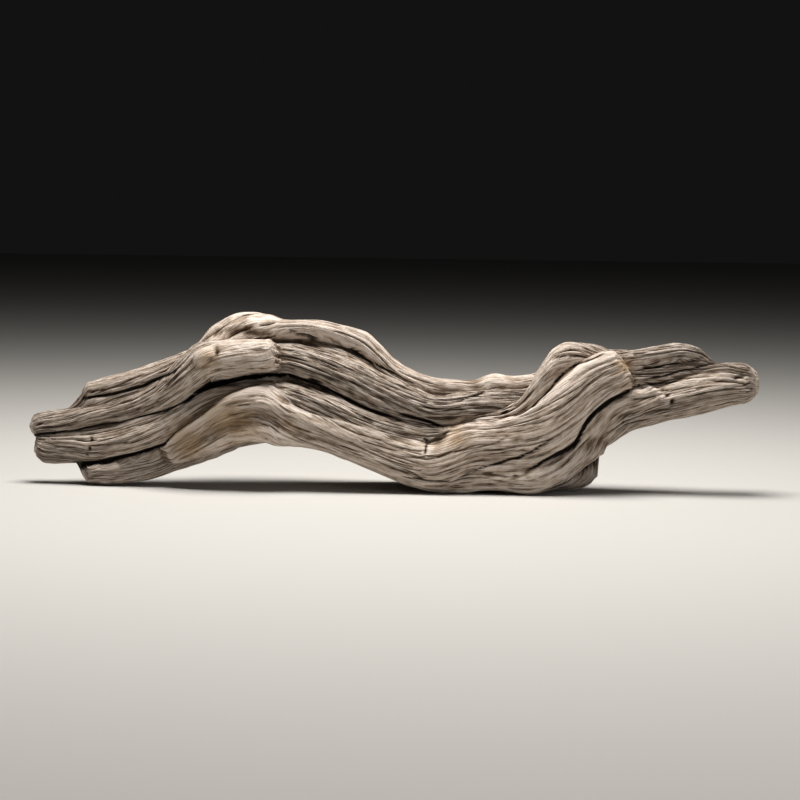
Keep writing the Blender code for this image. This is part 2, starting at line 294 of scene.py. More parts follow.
MARKS = (
    # The long split: from the mouth between the left fingers, wide under the flap, and
    # on down the middle of the front.
    Mark(Side.FRONT, Cut.SPLIT, (
        (-223, 28.5, 1.4, 2.5), (-214, 31, 1.2, 4.0), (-200, 32.6, 0.8, 3.5),
        (-180, 36.2, 0.8, 4.0), (-165, 40, 0.8, 4.0), (-150, 44.4, 0.9, 5.0),
        (-135, 49.4, 1.0, 6.0), (-125, 55, 1.2, 8.0), (-117, 60, 1.7, 10.0),
        (-108, 64.6, 2.4, 11.0), (-95, 67.4, 2.3, 12.0), (-80, 69.4, 1.8, 11.0),
        (-66, 69.8, 1.6, 9.0), (-55, 67.4, 1.4, 7.0), (-45, 63.9, 1.3, 6.0),
        (-33, 58.9, 1.2, 5.0), (-20, 52.8, 1.1, 4.5), (-8, 48, 0.9, 3.5), (4, 44.2, 0.6, 1.5),
    )),
    # Under the lower left finger, and above the main strand's crest.
    Mark(Side.FRONT, Cut.SPLIT, (
        (-196, 12.2, 2.2, 7.0), (-188, 12.9, 2.4, 9.0), (-180, 14.3, 2.0, 8.0),
        (-165, 18.3, 1.9, 6.5), (-150, 22.9, 1.6, 6.0), (-140, 26.7, 1.5, 6.0),
        (-137, 28.8, 1.1, 4.0),
    )),
    Mark(Side.FRONT, Cut.SPLIT, (
        (-137, 29.8, 0.8, 2.0), (-125, 39.5, 0.8, 2.0), (-110, 50.3, 0.8, 2.0),
        (-95, 59.1, 0.8, 2.0), (-85, 64.3, 0.7, 1.5),
    )),
    # Between the upper left finger and the top strand.
    Mark(Side.FRONT, Cut.SPLIT, (
        (-192, 52.8, 1.2, 3.0), (-180, 54.7, 1.6, 4.0), (-165, 58, 1.6, 4.0),
        (-150, 63.2, 1.6, 4.0), (-138, 69.4, 1.2, 3.0), (-128, 75.7, 0.8, 2.0),
    )),
    Mark(Side.FRONT, Cut.SPLIT, (
        (-188, 57.0, 0.6, 1.5), (-178, 58.8, 0.7, 1.8), (-165, 61.6, 0.6, 1.2),
    )),
    # The hollows behind the flap and on the knob above it.
    Mark(Side.FRONT, Cut.HOLLOW, (
        (-73, 91.0, 1.2, 3.0), (-66, 90.6, 2.0, 5.0), (-55, 89.9, 2.1, 5.0),
        (-42, 88.4, 1.8, 4.5), (-30, 86.2, 1.4, 3.5), (-22, 82.6, 1.0, 2.5),
    )),
    Mark(Side.FRONT, Cut.HOLLOW, (
        (-110, 94, 1.0, 0.8), (-100, 95.5, 2.5, 1.6), (-90, 96.2, 3.0, 2.0),
        (-82, 95.4, 2.0, 1.4), (-76, 94.5, 1.0, 0.6),
    )),
    Mark(Side.FRONT, Cut.BOSS, ((-116, 81, 6.5, 3.2), (-112, 82, 6.5, 3.2))),
    Mark(Side.FRONT, Cut.SPLIT, (
        (-107, 88.5, 0.6, 1.2), (-105.8, 85, 0.9, 2.4), (-106.6, 80, 0.9, 2.4),
        (-105, 75, 0.7, 1.4),
    )),
    # Under the bright ridge of the top strand.
    Mark(Side.FRONT, Cut.SPLIT, (
        (-26, 86, 1.0, 3.0), (-20, 82.6, 1.2, 4.0), (-14, 78.8, 1.0, 3.5), (-5, 74.5, 0.9, 3.0),
        (3, 70.6, 0.8, 2.0), (12, 66.3, 0.6, 1.5),
    )),
    # The knot-like holes in the middle.
    Mark(Side.FRONT, Cut.SPLIT, (
        (1, 49.2, 0.6, 2.0), (8, 47.3, 1.4, 4.0), (15, 45, 1.6, 5.0), (22, 43, 1.6, 5.0),
        (29, 41, 1.0, 3.0),
    )),
    Mark(Side.FRONT, Cut.HOLLOW, (
        (17, 46.5, 0.8, 1.2), (25, 45.8, 1.2, 2.0), (33, 45.6, 1.4, 2.2), (38, 45.6, 1.0, 1.5),
    )),
    Mark(Side.FRONT, Cut.HOLLOW, (
        (45, 53.2, 0.7, 1.2), (50, 53.2, 1.1, 2.0), (57, 53.2, 1.3, 2.4), (63, 52.3, 1.0, 2.0),
        (66, 50.9, 0.7, 2.0), (72, 53, 0.6, 1.5), (78, 56.5, 0.6, 1.5), (84, 62.5, 0.5, 1.2),
    )),
    Mark(Side.FRONT, Cut.SPLIT, (
        (53, 47.2, 0.5, 1.5), (58, 47.7, 0.8, 2.5), (64, 48.8, 0.6, 2.0), (72, 51.4, 0.5, 2.0),
    )),
    Mark(Side.FRONT, Cut.SPLIT, (
        (40, 55.6, 0.5, 1.5), (47, 58.2, 0.7, 2.0), (55, 60.8, 0.6, 1.5), (62, 63.3, 0.4, 1.0),
    )),
    # Between the arch and the main strand.
    Mark(Side.FRONT, Cut.SPLIT, (
        (60, 46.8, 0.5, 1.0), (72, 47.9, 0.6, 2.0), (80, 51, 0.8, 2.5), (88, 57.6, 1.0, 3.0),
        (95, 64.7, 1.0, 3.5), (102, 72.7, 1.0, 3.5), (109, 78.2, 0.9, 3.0), (118, 82.6, 0.8, 2.5),
        (127, 86.4, 0.6, 1.5),
    )),
    # The crack shaped like an S, and its smaller neighbours.
    Mark(Side.FRONT, Cut.SPLIT, (
        (73, 11.7, 0.8, 2.0), (80, 14, 1.1, 3.5), (90, 20.1, 1.4, 5.0), (100, 25.7, 1.6, 6.0),
        (109, 30.7, 1.8, 7.0), (113, 36.7, 2.0, 8.0), (117, 44.7, 2.2, 8.0),
        (122, 51.1, 2.2, 8.0), (130, 57.4, 2.2, 8.0), (138, 61.6, 1.8, 7.0), (143, 64, 1.2, 5.0),
    )),
    Mark(Side.FRONT, Cut.SPLIT, (
        (45, 15, 0.5, 1.2), (55, 16.8, 0.8, 2.5), (65, 19.9, 1.0, 3.5), (75, 23.5, 1.1, 4.0),
        (85, 28.5, 1.0, 3.5), (92, 32.6, 0.8, 2.5), (98, 36.7, 0.5, 1.2),
    )),
    # Between the body's lower edge and the flake under it.
    Mark(Side.FRONT, Cut.SPLIT, (
        (92, 2.5, 0.8, 2.0), (102, 7, 1.3, 5.0), (112, 11.5, 1.6, 6.5), (120, 16.5, 1.8, 7.0),
        (127, 21, 1.6, 5.0),
    )),
    Mark(Side.FRONT, Cut.SPLIT, (
        (6, 23.0, 0.4, 1.0), (15, 23, 0.5, 1.4), (25, 24, 0.5, 1.5), (37, 27.1, 0.6, 1.5),
        (47, 29.2, 0.5, 1.2), (58, 31.2, 0.4, 1.0), (70, 36.4, 0.5, 1.2),
    )),
    Mark(Side.FRONT, Cut.SPLIT, (
        (19.5, 33.5, 1.1, 2.5), (21.5, 31.5, 1.2, 3.0), (20.5, 29, 1.2, 3.0),
        (20, 26.5, 1.1, 2.5), (20.5, 24, 0.8, 1.5),
    )),
    Mark(Side.FRONT, Cut.SPLIT, (
        (5, 10.6, 0.4, 1.0), (15, 9.6, 0.6, 2.0), (25, 8.8, 0.8, 2.5), (35, 8.4, 0.8, 2.0),
        (45, 7.2, 0.5, 1.0),
    )),
    Mark(Side.FRONT, Cut.HOLLOW, (
        (20, 6.0, 1.0, 1.2), (28, 5.8, 1.8, 2.0), (36, 5.4, 1.6, 1.8), (44, 5, 0.8, 0.8),
    )),
    # Grooves between the fingers on the right.
    Mark(Side.FRONT, Cut.SPLIT, (
        (147, 76.3, 0.6, 2.0), (160, 78.4, 0.7, 2.0), (172, 80.1, 0.7, 2.0),
        (182, 82.9, 0.8, 2.5), (188, 84.5, 0.6, 2.0),
    )),
    Mark(Side.FRONT, Cut.SPLIT, (
        (152, 71.2, 0.5, 1.5), (165, 73.5, 0.8, 2.5), (178, 76.4, 0.9, 3.0),
        (187, 79, 0.8, 2.5), (196, 80.7, 0.5, 1.5),
    )),
    Mark(Side.FRONT, Cut.SPLIT, (
        (156, 67.8, 0.5, 1.2), (168, 69.1, 0.7, 2.0), (178, 71.3, 0.6, 1.5), (190, 73, 0.3, 1.0),
    )),
    Mark(Side.FRONT, Cut.SPLIT, (
        (150, 64.1, 0.6, 1.5), (158, 64.8, 0.5, 1.2), (170, 64.4, 0.4, 1.0), (180, 66.4, 0.3, 0.8),
    )),
    Mark(Side.FRONT, Cut.SPLIT, (
        (128, 36.3, 0.5, 1.5), (140, 44, 0.7, 2.0), (150, 49, 0.6, 2.0), (160, 52, 0.5, 1.5),
        (172, 54, 0.4, 1.0),
    )),
    Mark(Side.FRONT, Cut.SPLIT, (
        (135, 38.6, 0.4, 1.2), (145, 43.9, 0.6, 1.8), (158, 47.4, 0.5, 1.4), (170, 49.2, 0.3, 0.8),
    )),
    Mark(Side.FRONT, Cut.SPLIT, (
        (164, 63.5, 0.9, 1.5), (167.5, 60, 1.2, 3.0), (169, 57.5, 1.2, 3.0),
        (169.5, 54.5, 0.9, 2.0),
    )),
    Mark(Side.FRONT, Cut.CREST, (
        (145, 68, 1.2, 0.6), (152, 66, 1.6, 1.4), (160, 62.5, 1.8, 1.8), (166, 58.5, 1.6, 1.6),
        (167, 55, 1.2, 0.8),
    )),
    # Pits in both tips.
    Mark(Side.FRONT, Cut.HOLLOW, ((207, 72.8, 1.0, 2.0), (213, 73.8, 0.6, 1.5))),
    Mark(Side.FRONT, Cut.HOLLOW, ((212, 68.5, 0.7, 1.2), (216, 69.5, 0.7, 1.2))),
    Mark(Side.FRONT, Cut.HOLLOW, ((214, 64, 0.7, 1.0), (217, 65.5, 0.6, 1.0))),
    Mark(Side.FRONT, Cut.HOLLOW, ((-219, 36.5, 1.1, 2.5), (-217, 37.2, 1.0, 2.0))),
    Mark(Side.FRONT, Cut.SPLIT, (
        (-187, 18.5, 0.9, 1.0), (-186, 22.5, 1.1, 2.0), (-185, 27, 1.0, 1.6), (-184, 32, 0.8, 1.0),
    )),
    # The crest that runs the whole length of the front, and the long finger's.
    Mark(Side.FRONT, Cut.CREST, (
        (-137, 27.0, 1.6, 0.8), (-120, 39.5, 2.2, 2.0), (-105, 50, 2.4, 2.4), (-90, 58.5, 2.4, 2.6),
        (-78, 62.4, 2.4, 2.6), (-70, 60.5, 2.2, 2.4), (-64, 55.0, 2.0, 2.2),
        (-58, 50.2, 2.0, 2.2), (-45, 46.0, 2.0, 2.2), (-30, 42.6, 2.0, 2.2),
        (-15, 38.3, 1.9, 2.0), (0, 34.6, 1.8, 1.8), (12, 32.8, 1.7, 1.5), (22, 33.5, 1.6, 1.4),
        (32, 37.6, 1.8, 1.8), (45, 42.7, 1.8, 1.8), (60, 44.3, 1.8, 1.6), (72, 45.9, 1.8, 1.6),
        (82, 50.5, 1.8, 1.6), (92, 59.1, 1.8, 1.6), (102, 68.2, 1.8, 1.4),
        (112, 75.6, 1.7, 1.3), (122, 81, 1.5, 1.1), (132, 84.3, 1.2, 0.8),
    )),
    Mark(Side.FRONT, Cut.CREST, (
        (160, 61.5, 1.5, 0.6), (170, 61, 1.5, 0.7), (180, 62.4, 1.5, 0.7), (190, 65.1, 1.5, 0.7),
        (200, 67.8, 1.5, 0.6), (208, 69.8, 1.2, 0.4),
    )),
    # The hollow face under the crest.
    Mark(Side.FRONT, Cut.HOLLOW, (
        (-128, 23.5, 2.5, 0.8), (-112, 34, 5.0, 2.4), (-95, 42, 6.5, 3.4), (-80, 46, 6.5, 3.4),
        (-66, 42, 6.0, 2.4), (-50, 35, 5.0, 1.4), (-30, 29, 4.5, 0.9), (-10, 24, 3.5, 0.5),
    )),
    # Splits on the back, which follow its three long strands.
    Mark(Side.BACK, Cut.SPLIT, (
        (-172, 44, 0.7, 2.0), (-150, 50, 1.2, 4.5), (-125, 60, 1.6, 6.0), (-100, 68.5, 1.8, 7.0),
        (-72, 71, 1.7, 6.5), (-44, 66, 1.5, 6.0), (-18, 56, 1.3, 5.0), (8, 45.5, 1.0, 4.0),
        (30, 41, 0.6, 2.0),
    )),
    Mark(Side.BACK, Cut.SPLIT, (
        (-60, 43.5, 0.6, 1.5), (-35, 39, 1.2, 4.0), (-10, 30.5, 1.5, 5.5), (18, 23, 1.5, 5.5),
        (46, 21, 1.3, 5.0), (72, 25.5, 1.1, 4.0), (94, 34.5, 0.8, 3.0), (112, 43, 0.5, 1.5),
    )),
    Mark(Side.BACK, Cut.SPLIT, (
        (52, 41.5, 0.5, 1.5), (74, 44.5, 1.0, 3.5), (96, 53.5, 1.4, 5.0), (116, 64, 1.5, 5.5),
        (138, 71.5, 1.2, 4.5), (158, 75.5, 1.0, 3.0), (176, 77.5, 0.5, 1.5),
    )),
    Mark(Side.BACK, Cut.SPLIT, (
        (-118, 42, 0.4, 1.0), (-95, 48.5, 0.8, 2.5), (-74, 50.5, 0.8, 2.5), (-55, 48, 0.5, 1.2),
    )),
    Mark(Side.BACK, Cut.SPLIT, (
        (-96, 88, 0.5, 1.2), (-74, 90, 0.8, 2.5), (-52, 87.5, 0.8, 2.5), (-36, 82.5, 0.4, 1.0),
    )),
    Mark(Side.BACK, Cut.HOLLOW, (
        (-22, 75.5, 1.2, 3.0), (-12, 70.5, 2.8, 7.0), (-3, 66, 2.6, 6.5), (6, 62, 1.2, 3.0),
    )),
    Mark(Side.BACK, Cut.HOLLOW, (
        (128, 51.5, 1.5, 3.0), (136, 55, 2.4, 5.0), (143, 58.5, 1.2, 2.5),
    )),
    Mark(Side.BACK, Cut.BOSS, ((-131, 58, 6.0, 1.8), (-126, 60, 6.0, 1.8))),
    Mark(Side.BACK, Cut.CREST, (
        (-140, 63, 1.4, 1.0), (-110, 77, 1.6, 1.5), (-80, 80, 1.6, 1.6), (-50, 75.5, 1.6, 1.5),
        (-20, 63, 1.5, 1.4), (5, 52.5, 1.4, 1.2), (30, 47, 1.2, 0.8),
    )),
    Mark(Side.BACK, Cut.CREST, (
        (60, 50, 1.3, 1.0), (86, 58, 1.5, 1.4), (108, 68, 1.5, 1.4), (130, 76, 1.3, 1.0),
    )),
    # Splits that are seen from above and from below.
    Mark(Side.TOP, Cut.SPLIT, (
        (-128, 12, 0.5, 1.2), (-108, 15, 1.0, 3.0), (-88, 16, 1.2, 4.0), (-66, 14, 1.0, 3.5),
        (-44, 11, 0.6, 2.0),
    )),
    Mark(Side.TOP, Cut.SPLIT, (
        (12, 8, 0.5, 1.2), (34, 9, 1.0, 3.5), (58, 10.5, 1.1, 4.0), (82, 9.5, 0.9, 3.0),
        (104, 5, 0.5, 1.5),
    )),
    Mark(Side.TOP, Cut.HOLLOW, ((20, 3.5, 1.0, 2.0), (29, 4, 2.0, 3.5), (38, 4.5, 1.2, 2.0))),
    Mark(Side.TOP, Cut.SPLIT, ((120, 6, 0.5, 1.5), (140, 4.5, 0.9, 3.0), (165, 2, 0.6, 1.5))),
    Mark(Side.UNDER, Cut.SPLIT, (
        (-110, 4, 0.6, 1.5), (-85, 6.5, 1.2, 4.0), (-55, 7, 1.5, 5.5), (-25, 6, 1.3, 5.0),
        (0, 5, 0.8, 2.0),
    )),
    Mark(Side.UNDER, Cut.SPLIT, (
        (-70, -8, 0.5, 1.5), (-42, -7, 1.0, 3.5), (-12, -5.5, 0.9, 3.0), (10, -4, 0.5, 1.2),
    )),
    Mark(Side.UNDER, Cut.SPLIT, (
        (18, 6, 0.6, 1.5), (45, 7, 1.2, 4.0), (72, 8, 1.2, 4.0), (95, 7, 0.6, 2.0),
    )),
)

# The line inside the wood that the rings of rays leave: (x, y, z).
SPINE = (
    (-207, 9, 29.0), (-176, 9, 33), (-140, 11, 43), (-102, 14, 62), (-66, 14, 68),
    (-34, 11, 60), (3, 8, 41), (35, 7, 33), (72, 6, 36), (102, 3, 48), (133, -2, 60),
    (164, -5, 65), (206, -8, 66.5),
)
# Rings stand closer together at the broken ends: (place along X, spread, extra share).
CROWDED_PLACES = (
    (-186, 5.0, 0.6), (-138, 6.0, 0.6), (-106, 3.0, 0.6), (-72, 6.0, 1.6), (20, 3.0, 1.0),
    (126, 5.0, 0.6), (144, 6.0, 1.6),
)

# Fresher wood shows tan through the grey on the front: (x, z, spread, share).
FRESH_WOOD = (
    (-98, 44, 17, 0.9), (-124, 28, 12, 0.8), (38, 34.5, 10, 0.8), (-112, 81, 7, 0.8),
    (139, 79, 6, 1.0), (140, 68, 5, 0.7), (-60, 41, 10, 0.4), (70, 42, 9, 0.4),
)


# ---------------------------------------------------------------- mathematics

def eased(low: float, high: float, value: Array) -> Array:
    """Rises smoothly from 0 at low to 1 at high: 3t² - 2t³ of the clipped share t."""
    share = np.clip((value - low) / (high - low), 0.0, 1.0)
    return share * share * (3.0 - 2.0 * share)


def unit(vectors: Array) -> Array:
    """Divides each row by its own length."""
    return vectors / np.maximum(np.linalg.norm(vectors, axis=-1, keepdims=True), 1e-12)


def smooth_curve(points: Array, steps: int = 12) -> Array:
    """Reads a Catmull-Rom curve through the rows, every column alike.

    Each stretch is 0.5 * (2b + t(c - a) + t²(2a - 5b + 4c - d) + t³(3b - a - 3c + d))
    for its four neighbouring rows a, b, c and d and t from 0 to 1.

    Args:
        points: one row for each point.
        steps: how many rows each stretch gives.

    Returns:
        The rows along the curve, both ends included.
    """
    padded = np.vstack([2 * points[0] - points[1], points, 2 * points[-1] - points[-2]])
    a, b, c, d = (padded[i:len(padded) - 3 + i, None] for i in range(4))
    t = (np.arange(steps) / steps)[None, :, None]
    rows = 0.5 * (2 * b + t * (c - a) + t**2 * (2 * a - 5 * b + 4 * c - d)
                  + t**3 * (3 * b - a - 3 * c + d))
    return np.vstack([rows.reshape(-1, points.shape[1]), points[-1:]])


def blurred_round(grid: Array, along: float, around: float) -> Array:
    """Blurs a ring grid with a Gaussian, wrapping around and held at the ends.

    Args:
        grid: values, or rows of values, by ring and by place in the ring.
        along: the spread in rings.
        around: the spread in places of a ring.

    Returns:
        The blurred grid.
    """
    def kernel(spread: float) -> Array:
        """Returns Gaussian weights out to three spreads, with a sum of 1."""
        reach = max(1, int(3 * spread))
        weights = np.exp(-0.5 * (np.arange(-reach, reach + 1) / spread) ** 2)
        return weights / weights.sum()

    wide, narrow = kernel(along), kernel(around)
    reach = len(narrow) // 2
    result = sum(w * np.roll(grid, i - reach, axis=1) for i, w in enumerate(narrow))
    reach = len(wide) // 2
    held = np.pad(result, ((reach, reach),) + ((0, 0),) * (grid.ndim - 1), mode="edge")
    return sum(w * held[i:i + len(grid)] for i, w in enumerate(wide))


class Lattice:
    """Smooth random values in space, between -1 and 1.

    Every whole-number corner holds a random value, and a point between corners blends
    its eight with the weights 3t² - 2t³.
    """

    SIZE = 1 << 16  # how many corner values there are; a power of 2
    STRIDES = np.array([73856093, 19349663, 83492791])  # primes that scatter the corners

    def __init__(self, seed: int) -> None:
        """Draws the corner values from a seeded generator."""
        self.values = np.random.default_rng(seed).uniform(-1.0, 1.0, self.SIZE)

    def at(self, points: Array) -> Array:
        """Reads the values at points in space.

        A corner's value is found by its place times STRIDES, its three numbers put
        together with an exclusive or.

        Args:
            points: rows of x, y and z, one unit from corner to corner.

        Returns:
            One value for each row.
        """
        base = np.floor(points).astype(np.int64)
        share = points - base
        ease = share * share * (3.0 - 2.0 * share)
        total = np.zeros(points.shape[:-1])
        for corner in np.ndindex(2, 2, 2):
            cell = base + corner
            index = np.bitwise_xor.reduce(cell * self.STRIDES, axis=-1)
            weight = np.prod(np.where(corner, ease, 1.0 - ease), axis=-1)
            total += weight * self.values[index & (self.SIZE - 1)]
        return total


# ---------------------------------------------------------------- the bundle of strands

class StrandForm:
    """One strand as a solid: its distance, its grain's way and its roughness."""

    STEP = 0.5  # between the rows of the table
    RUN_ON = 26.0  # how far the table runs on straight past each end
    BLUNTNESS = 0.5  # how much flatter an end is for each unit of raggedness

    def __init__(self, strand: Strand) -> None:
        """Reads the strand's curve into a table at even steps of x."""
        self.strand = strand
        curve = smooth_curve(np.array(strand.points, float))
        self.ends = curve[0], curve[-1]
        slopes = np.gradient(curve[:, 1:3], curve[:, 0], axis=0)
        self.ways = [unit(np.array([1.0, *slopes[i]])) for i in (0, -1)]
        self.x = np.arange(curve[0, 0] - self.RUN_ON, curve[-1, 0] + self.RUN_ON, self.STEP)
        inside = np.clip(self.x, curve[0, 0], curve[-1, 0])
        past = self.x - inside
        columns = [np.interp(inside, curve[:, 0], curve[:, i]) for i in (1, 2, 3)]
        tilt = [np.interp(inside, curve[:, 0], slopes[:, i]) for i in (0, 1)]
        self.table = np.stack([columns[0] + past * tilt[0], columns[1] + past * tilt[1],
                               columns[2], *tilt], axis=1)

    def reaches(self, x: Array) -> Array:
        """Says which places along X the strand can touch."""
        return (x > self.x[0]) & (x < self.x[-1] - self.STEP)

    def read(self, x: Array) -> Array:
        """Returns centre y and z, radius, and the slopes of y and z at each x."""
        place = (x - self.x[0]) / self.STEP
        row = place.astype(int)
        share = (place - row)[:, None]
        return self.table[row] * (1 - share) + self.table[row + 1] * share

    def distance(self, points: Array) -> Array:
        """Distance from the strand's skin, less than 0 inside.

        It is the length of (across, past) minus the radius. Across is the offset from
        the centre line, square to the strand and stretched in Y by its flatness. Past
        is how far the point lies beyond an end, along the strand.
        """
        centre_y, centre_z, radius, _, slope = self.read(points[:, 0]).T
        offset = np.abs([(points[:, 1] - centre_y) / self.strand.flatness,
                         (points[:, 2] - centre_z) / np.sqrt(1.0 + slope**2)])
        power = self.strand.squareness
        across = (offset**power).sum(axis=0) ** (1.0 / power)
        past = np.zeros(len(points))
        for end, way, sign, ragged in zip(self.ends, self.ways, (-1, 1), self.strand.ragged):
            beyond = sign * ((points - end[:3]) @ way)
            near = np.flatnonzero(beyond > -ragged)
            splinter = ragged * self.splinters(points[near])
            blunt = 1.0 + self.BLUNTNESS * ragged
            past[near] = np.maximum(past[near], blunt * np.maximum(beyond[near] + splinter, 0))
        return np.hypot(across, past) - radius

    @staticmethod
    def splinters(points: Array) -> Array:
        """Splinter length by place in the end, 0 to 1.

        It is crossed waves 3 to 5 millimetres long with a finer one on top.
        """
        y, z = points[:, 1], points[:, 2]
        coarse = np.sin(1.45 * z + 1.2 * np.sin(0.7 * y)) * np.cos(1.9 * y - 0.6 * z)
        return 0.5 + 0.35 * coarse + 0.15 * np.sin(3.7 * z + 1.3 * y)


class Bundle:
    """All the strands, fused: where the wood is and which way its grain runs."""

    FILLET = 0.9  # softens the seams between strands
    SWELL = 0.9  # how far that softening pushes the skin out, which is taken off again
    BLEND = 1.6  # how wide the grain's way turns from one strand's to the next

    def __init__(self, strands: tuple[Strand, ...]) -> None:
        """Prepares each strand's form."""
        self.forms = [StrandForm(strand) for strand in strands]

    def _gathered(self, points: Array, softness: float, width: int,
                  worth: Callable[[StrandForm, Array, Array], Array]) -> Array:
        """Adds up what each strand is worth at each point.

        Args:
            points: the places.
            softness: a strand's weight falls off as exp(-distance / softness).
            width: how many values there are for each point.
            worth: gives the values of a strand at its near points, from their weights.

        Returns:
            The sums, one row for each point.
        """
        total = np.zeros((len(points), width))
        for form in self.forms:
            near = np.flatnonzero(form.reaches(points[:, 0]))
            if not len(near):
                continue
            weight = np.exp(-form.distance(points[near]) / softness)
            total[near] += worth(form, points[near], weight)
        return total

    def depth(self, points: Array) -> Array:
        """Distance from the fused skin, less than 0 inside: swell - k ln(sum of exp(-d / k))."""
        total = self._gathered(points, self.FILLET, 1, lambda form, near, weight: weight[:, None])
        return self.SWELL - self.FILLET * np.log(np.maximum(total[:, 0], 1e-30))

    def grain(self, points: Array) -> tuple[Array, Array, Array]:
        """Reads the grain near each point, blended from the strands around it.

        Args:
            points: the places.

        Returns:
            The grain's way as unit rows, its roughness, and how far the point lies in a
            seam: 0 in the middle of a strand, towards 1 where two strands meet.
        """
        def worth(form: StrandForm, near: Array, weight: Array) -> Array:
            """Returns the weight, its square, and the weighted way and roughness."""
            slopes = form.read(near[:, 0])[:, 3:5]
            way = unit(np.column_stack([np.ones(len(near)), slopes]))
            rough = np.full((len(near), 1), form.strand.roughness)
            return np.column_stack([weight, weight**2, weight[:, None] * way,
                                    weight[:, None] * rough])

        sums = self._gathered(points, self.BLEND, 6, worth)
        weight = sums[:, 0]
        shared = 1.0 - sums[:, 1] / weight**2
        return unit(sums[:, 2:5]), sums[:, 5] / weight, shared


# ---------------------------------------------------------------- rays from the spine

class SpineRays:
    """Rings of rays that leave the spine, square to it, and fan out at its two ends."""

    BODY_RINGS = 196  # between the two fans
    FAN_RINGS = 20  # at each end, the pole included
    TURN = 0.6  # share of the spine's slope that the rings lean with
    REACH = 78.0  # how far outside the spine a ray starts
    MARCH_STEPS = 90
    CAUTION = 0.7  # share of the distance to the wood that one step may take
    STEPS = (0.3, 6.0)  # the least and the most of a step
    HALVINGS = 7
    WALL = 2.5  # a jump between neighbours that makes a wall
    WALL_SMOOTHING = 1.6  # above 1, so that the middle of a wall is smoothed in full

    def __init__(self) -> None:
        """Spaces the rings along the spine, closer where the wood is broken."""
        curve = smooth_curve(np.array(SPINE, float), 30)
        length = np.concatenate([[0], np.cumsum(np.linalg.norm(np.diff(curve, axis=0), axis=1))])
        crowd = 1.0 + sum(share * np.exp(-0.5 * ((curve[:, 0] - at) / spread) ** 2)
                          for at, spread, share in CROWDED_PLACES)
        steps = np.diff(length) * 0.5 * (crowd[1:] + crowd[:-1])
        count = np.concatenate([[0], np.cumsum(steps)])
        place = np.interp(np.linspace(0, count[-1], self.BODY_RINGS), count, length)
        body = np.stack([np.interp(place, length, curve[:, i]) for i in range(3)], axis=1)
        slope = np.interp(place, length, np.gradient(curve[:, 2], curve[:, 0]))
        turn = self.TURN * np.arctan(slope)
        fan = np.radians(90) * np.linspace(1, 0, self.FAN_RINGS + 1)[:-1]
        first, last = np.repeat(0, len(fan)), np.repeat(-1, len(fan))
        self.start = np.vstack([body[first], body, body[last]])
        self.turn = np.concatenate([turn[first], turn, turn[last]])
        self.lean = np.concatenate([-fan, np.zeros(self.BODY_RINGS), fan[::-1]])

    @property
    def count(self) -> int:
        """How many rings there are, the two poles included."""
        return len(self.lean)

    def ways(self, angle: Array) -> Array:
        """Ray directions of every ring for angles measured up from the front.

        A way is cos(lean) * (-cos(angle) Y + sin(angle) up) + sin(lean) * forward, where
        up and forward lie in the XZ plane, turned with the spine.
        """
        turn, lean = self.turn[:, None, None], self.lean[:, None, None]
        up = np.concatenate([-np.sin(turn), 0 * turn, np.cos(turn)], axis=-1)
        forward = np.concatenate([np.cos(turn), 0 * turn, np.sin(turn)], axis=-1)
        angle = angle[None, :, None]
        across = np.sin(angle) * up - np.cos(angle) * np.array([0.0, 1.0, 0.0])
        return np.cos(lean) * across + np.sin(lean) * forward

    def rings(self, bundle: Bundle, angle: Array) -> Array:
        """Finds where the rays meet the wood, coming from outside.

        Each step inward from REACH is a share of the distance left to the wood. Once a
        ray is inside, the last step is halved again and again. Where the reach jumps
        between neighbours, a blur turns the jump into a clean wall.

        Args:
            bundle: the wood.
            angle: the angles, the same for each ring.

        Returns:
            The points, by ring and angle.
        """
        way = self.ways(angle)
        start = np.broadcast_to(self.start[:, None], way.shape).reshape(-1, 3)
        flat = way.reshape(-1, 3)
        far, last = np.full(len(flat), self.REACH), np.zeros(len(flat))
        moving = np.arange(len(flat))
        for _ in range(self.MARCH_STEPS):
            gap = bundle.depth(start[moving] + far[moving, None] * flat[moving])
            moving, gap = moving[gap > 0], gap[gap > 0]
            last[moving] = np.clip(self.CAUTION * gap, *self.STEPS)
            far[moving] -= last[moving]
            if not len(moving):
                break
        near, far = far, far + last
        for _ in range(self.HALVINGS):
            middle = (near + far) / 2
            inside = bundle.depth(start + middle[:, None] * flat) < 0
            near, far = np.where(inside, middle, near), np.where(inside, far, middle)
        reach = far.reshape(way.shape[:2])
        jump = np.abs(np.roll(reach, -1, axis=1) - np.roll(reach, 1, axis=1))
        jump = np.maximum(jump, np.abs(np.gradient(reach, axis=0)))
        wall = blurred_round(eased(self.WALL / 2, self.WALL, jump), 1.0, 3.0)
        smoothed = np.clip(self.WALL_SMOOTHING * wall, 0, 1)
        reach += smoothed * (blurred_round(reach, 1.1, 1.8) - reach)
        return self.start[:, None] + reach[..., None] * way


def ring_normals(points: Array) -> Array:
    """Outward unit normals of a ring grid: its change along crossed with its change around."""
    along = np.gradient(points, axis=0)
    around = np.roll(points, -1, axis=1) - np.roll(points, 1, axis=1)
    return unit(np.cross(along, around))


# ---------------------------------------------------------------- the mesh follows the grain

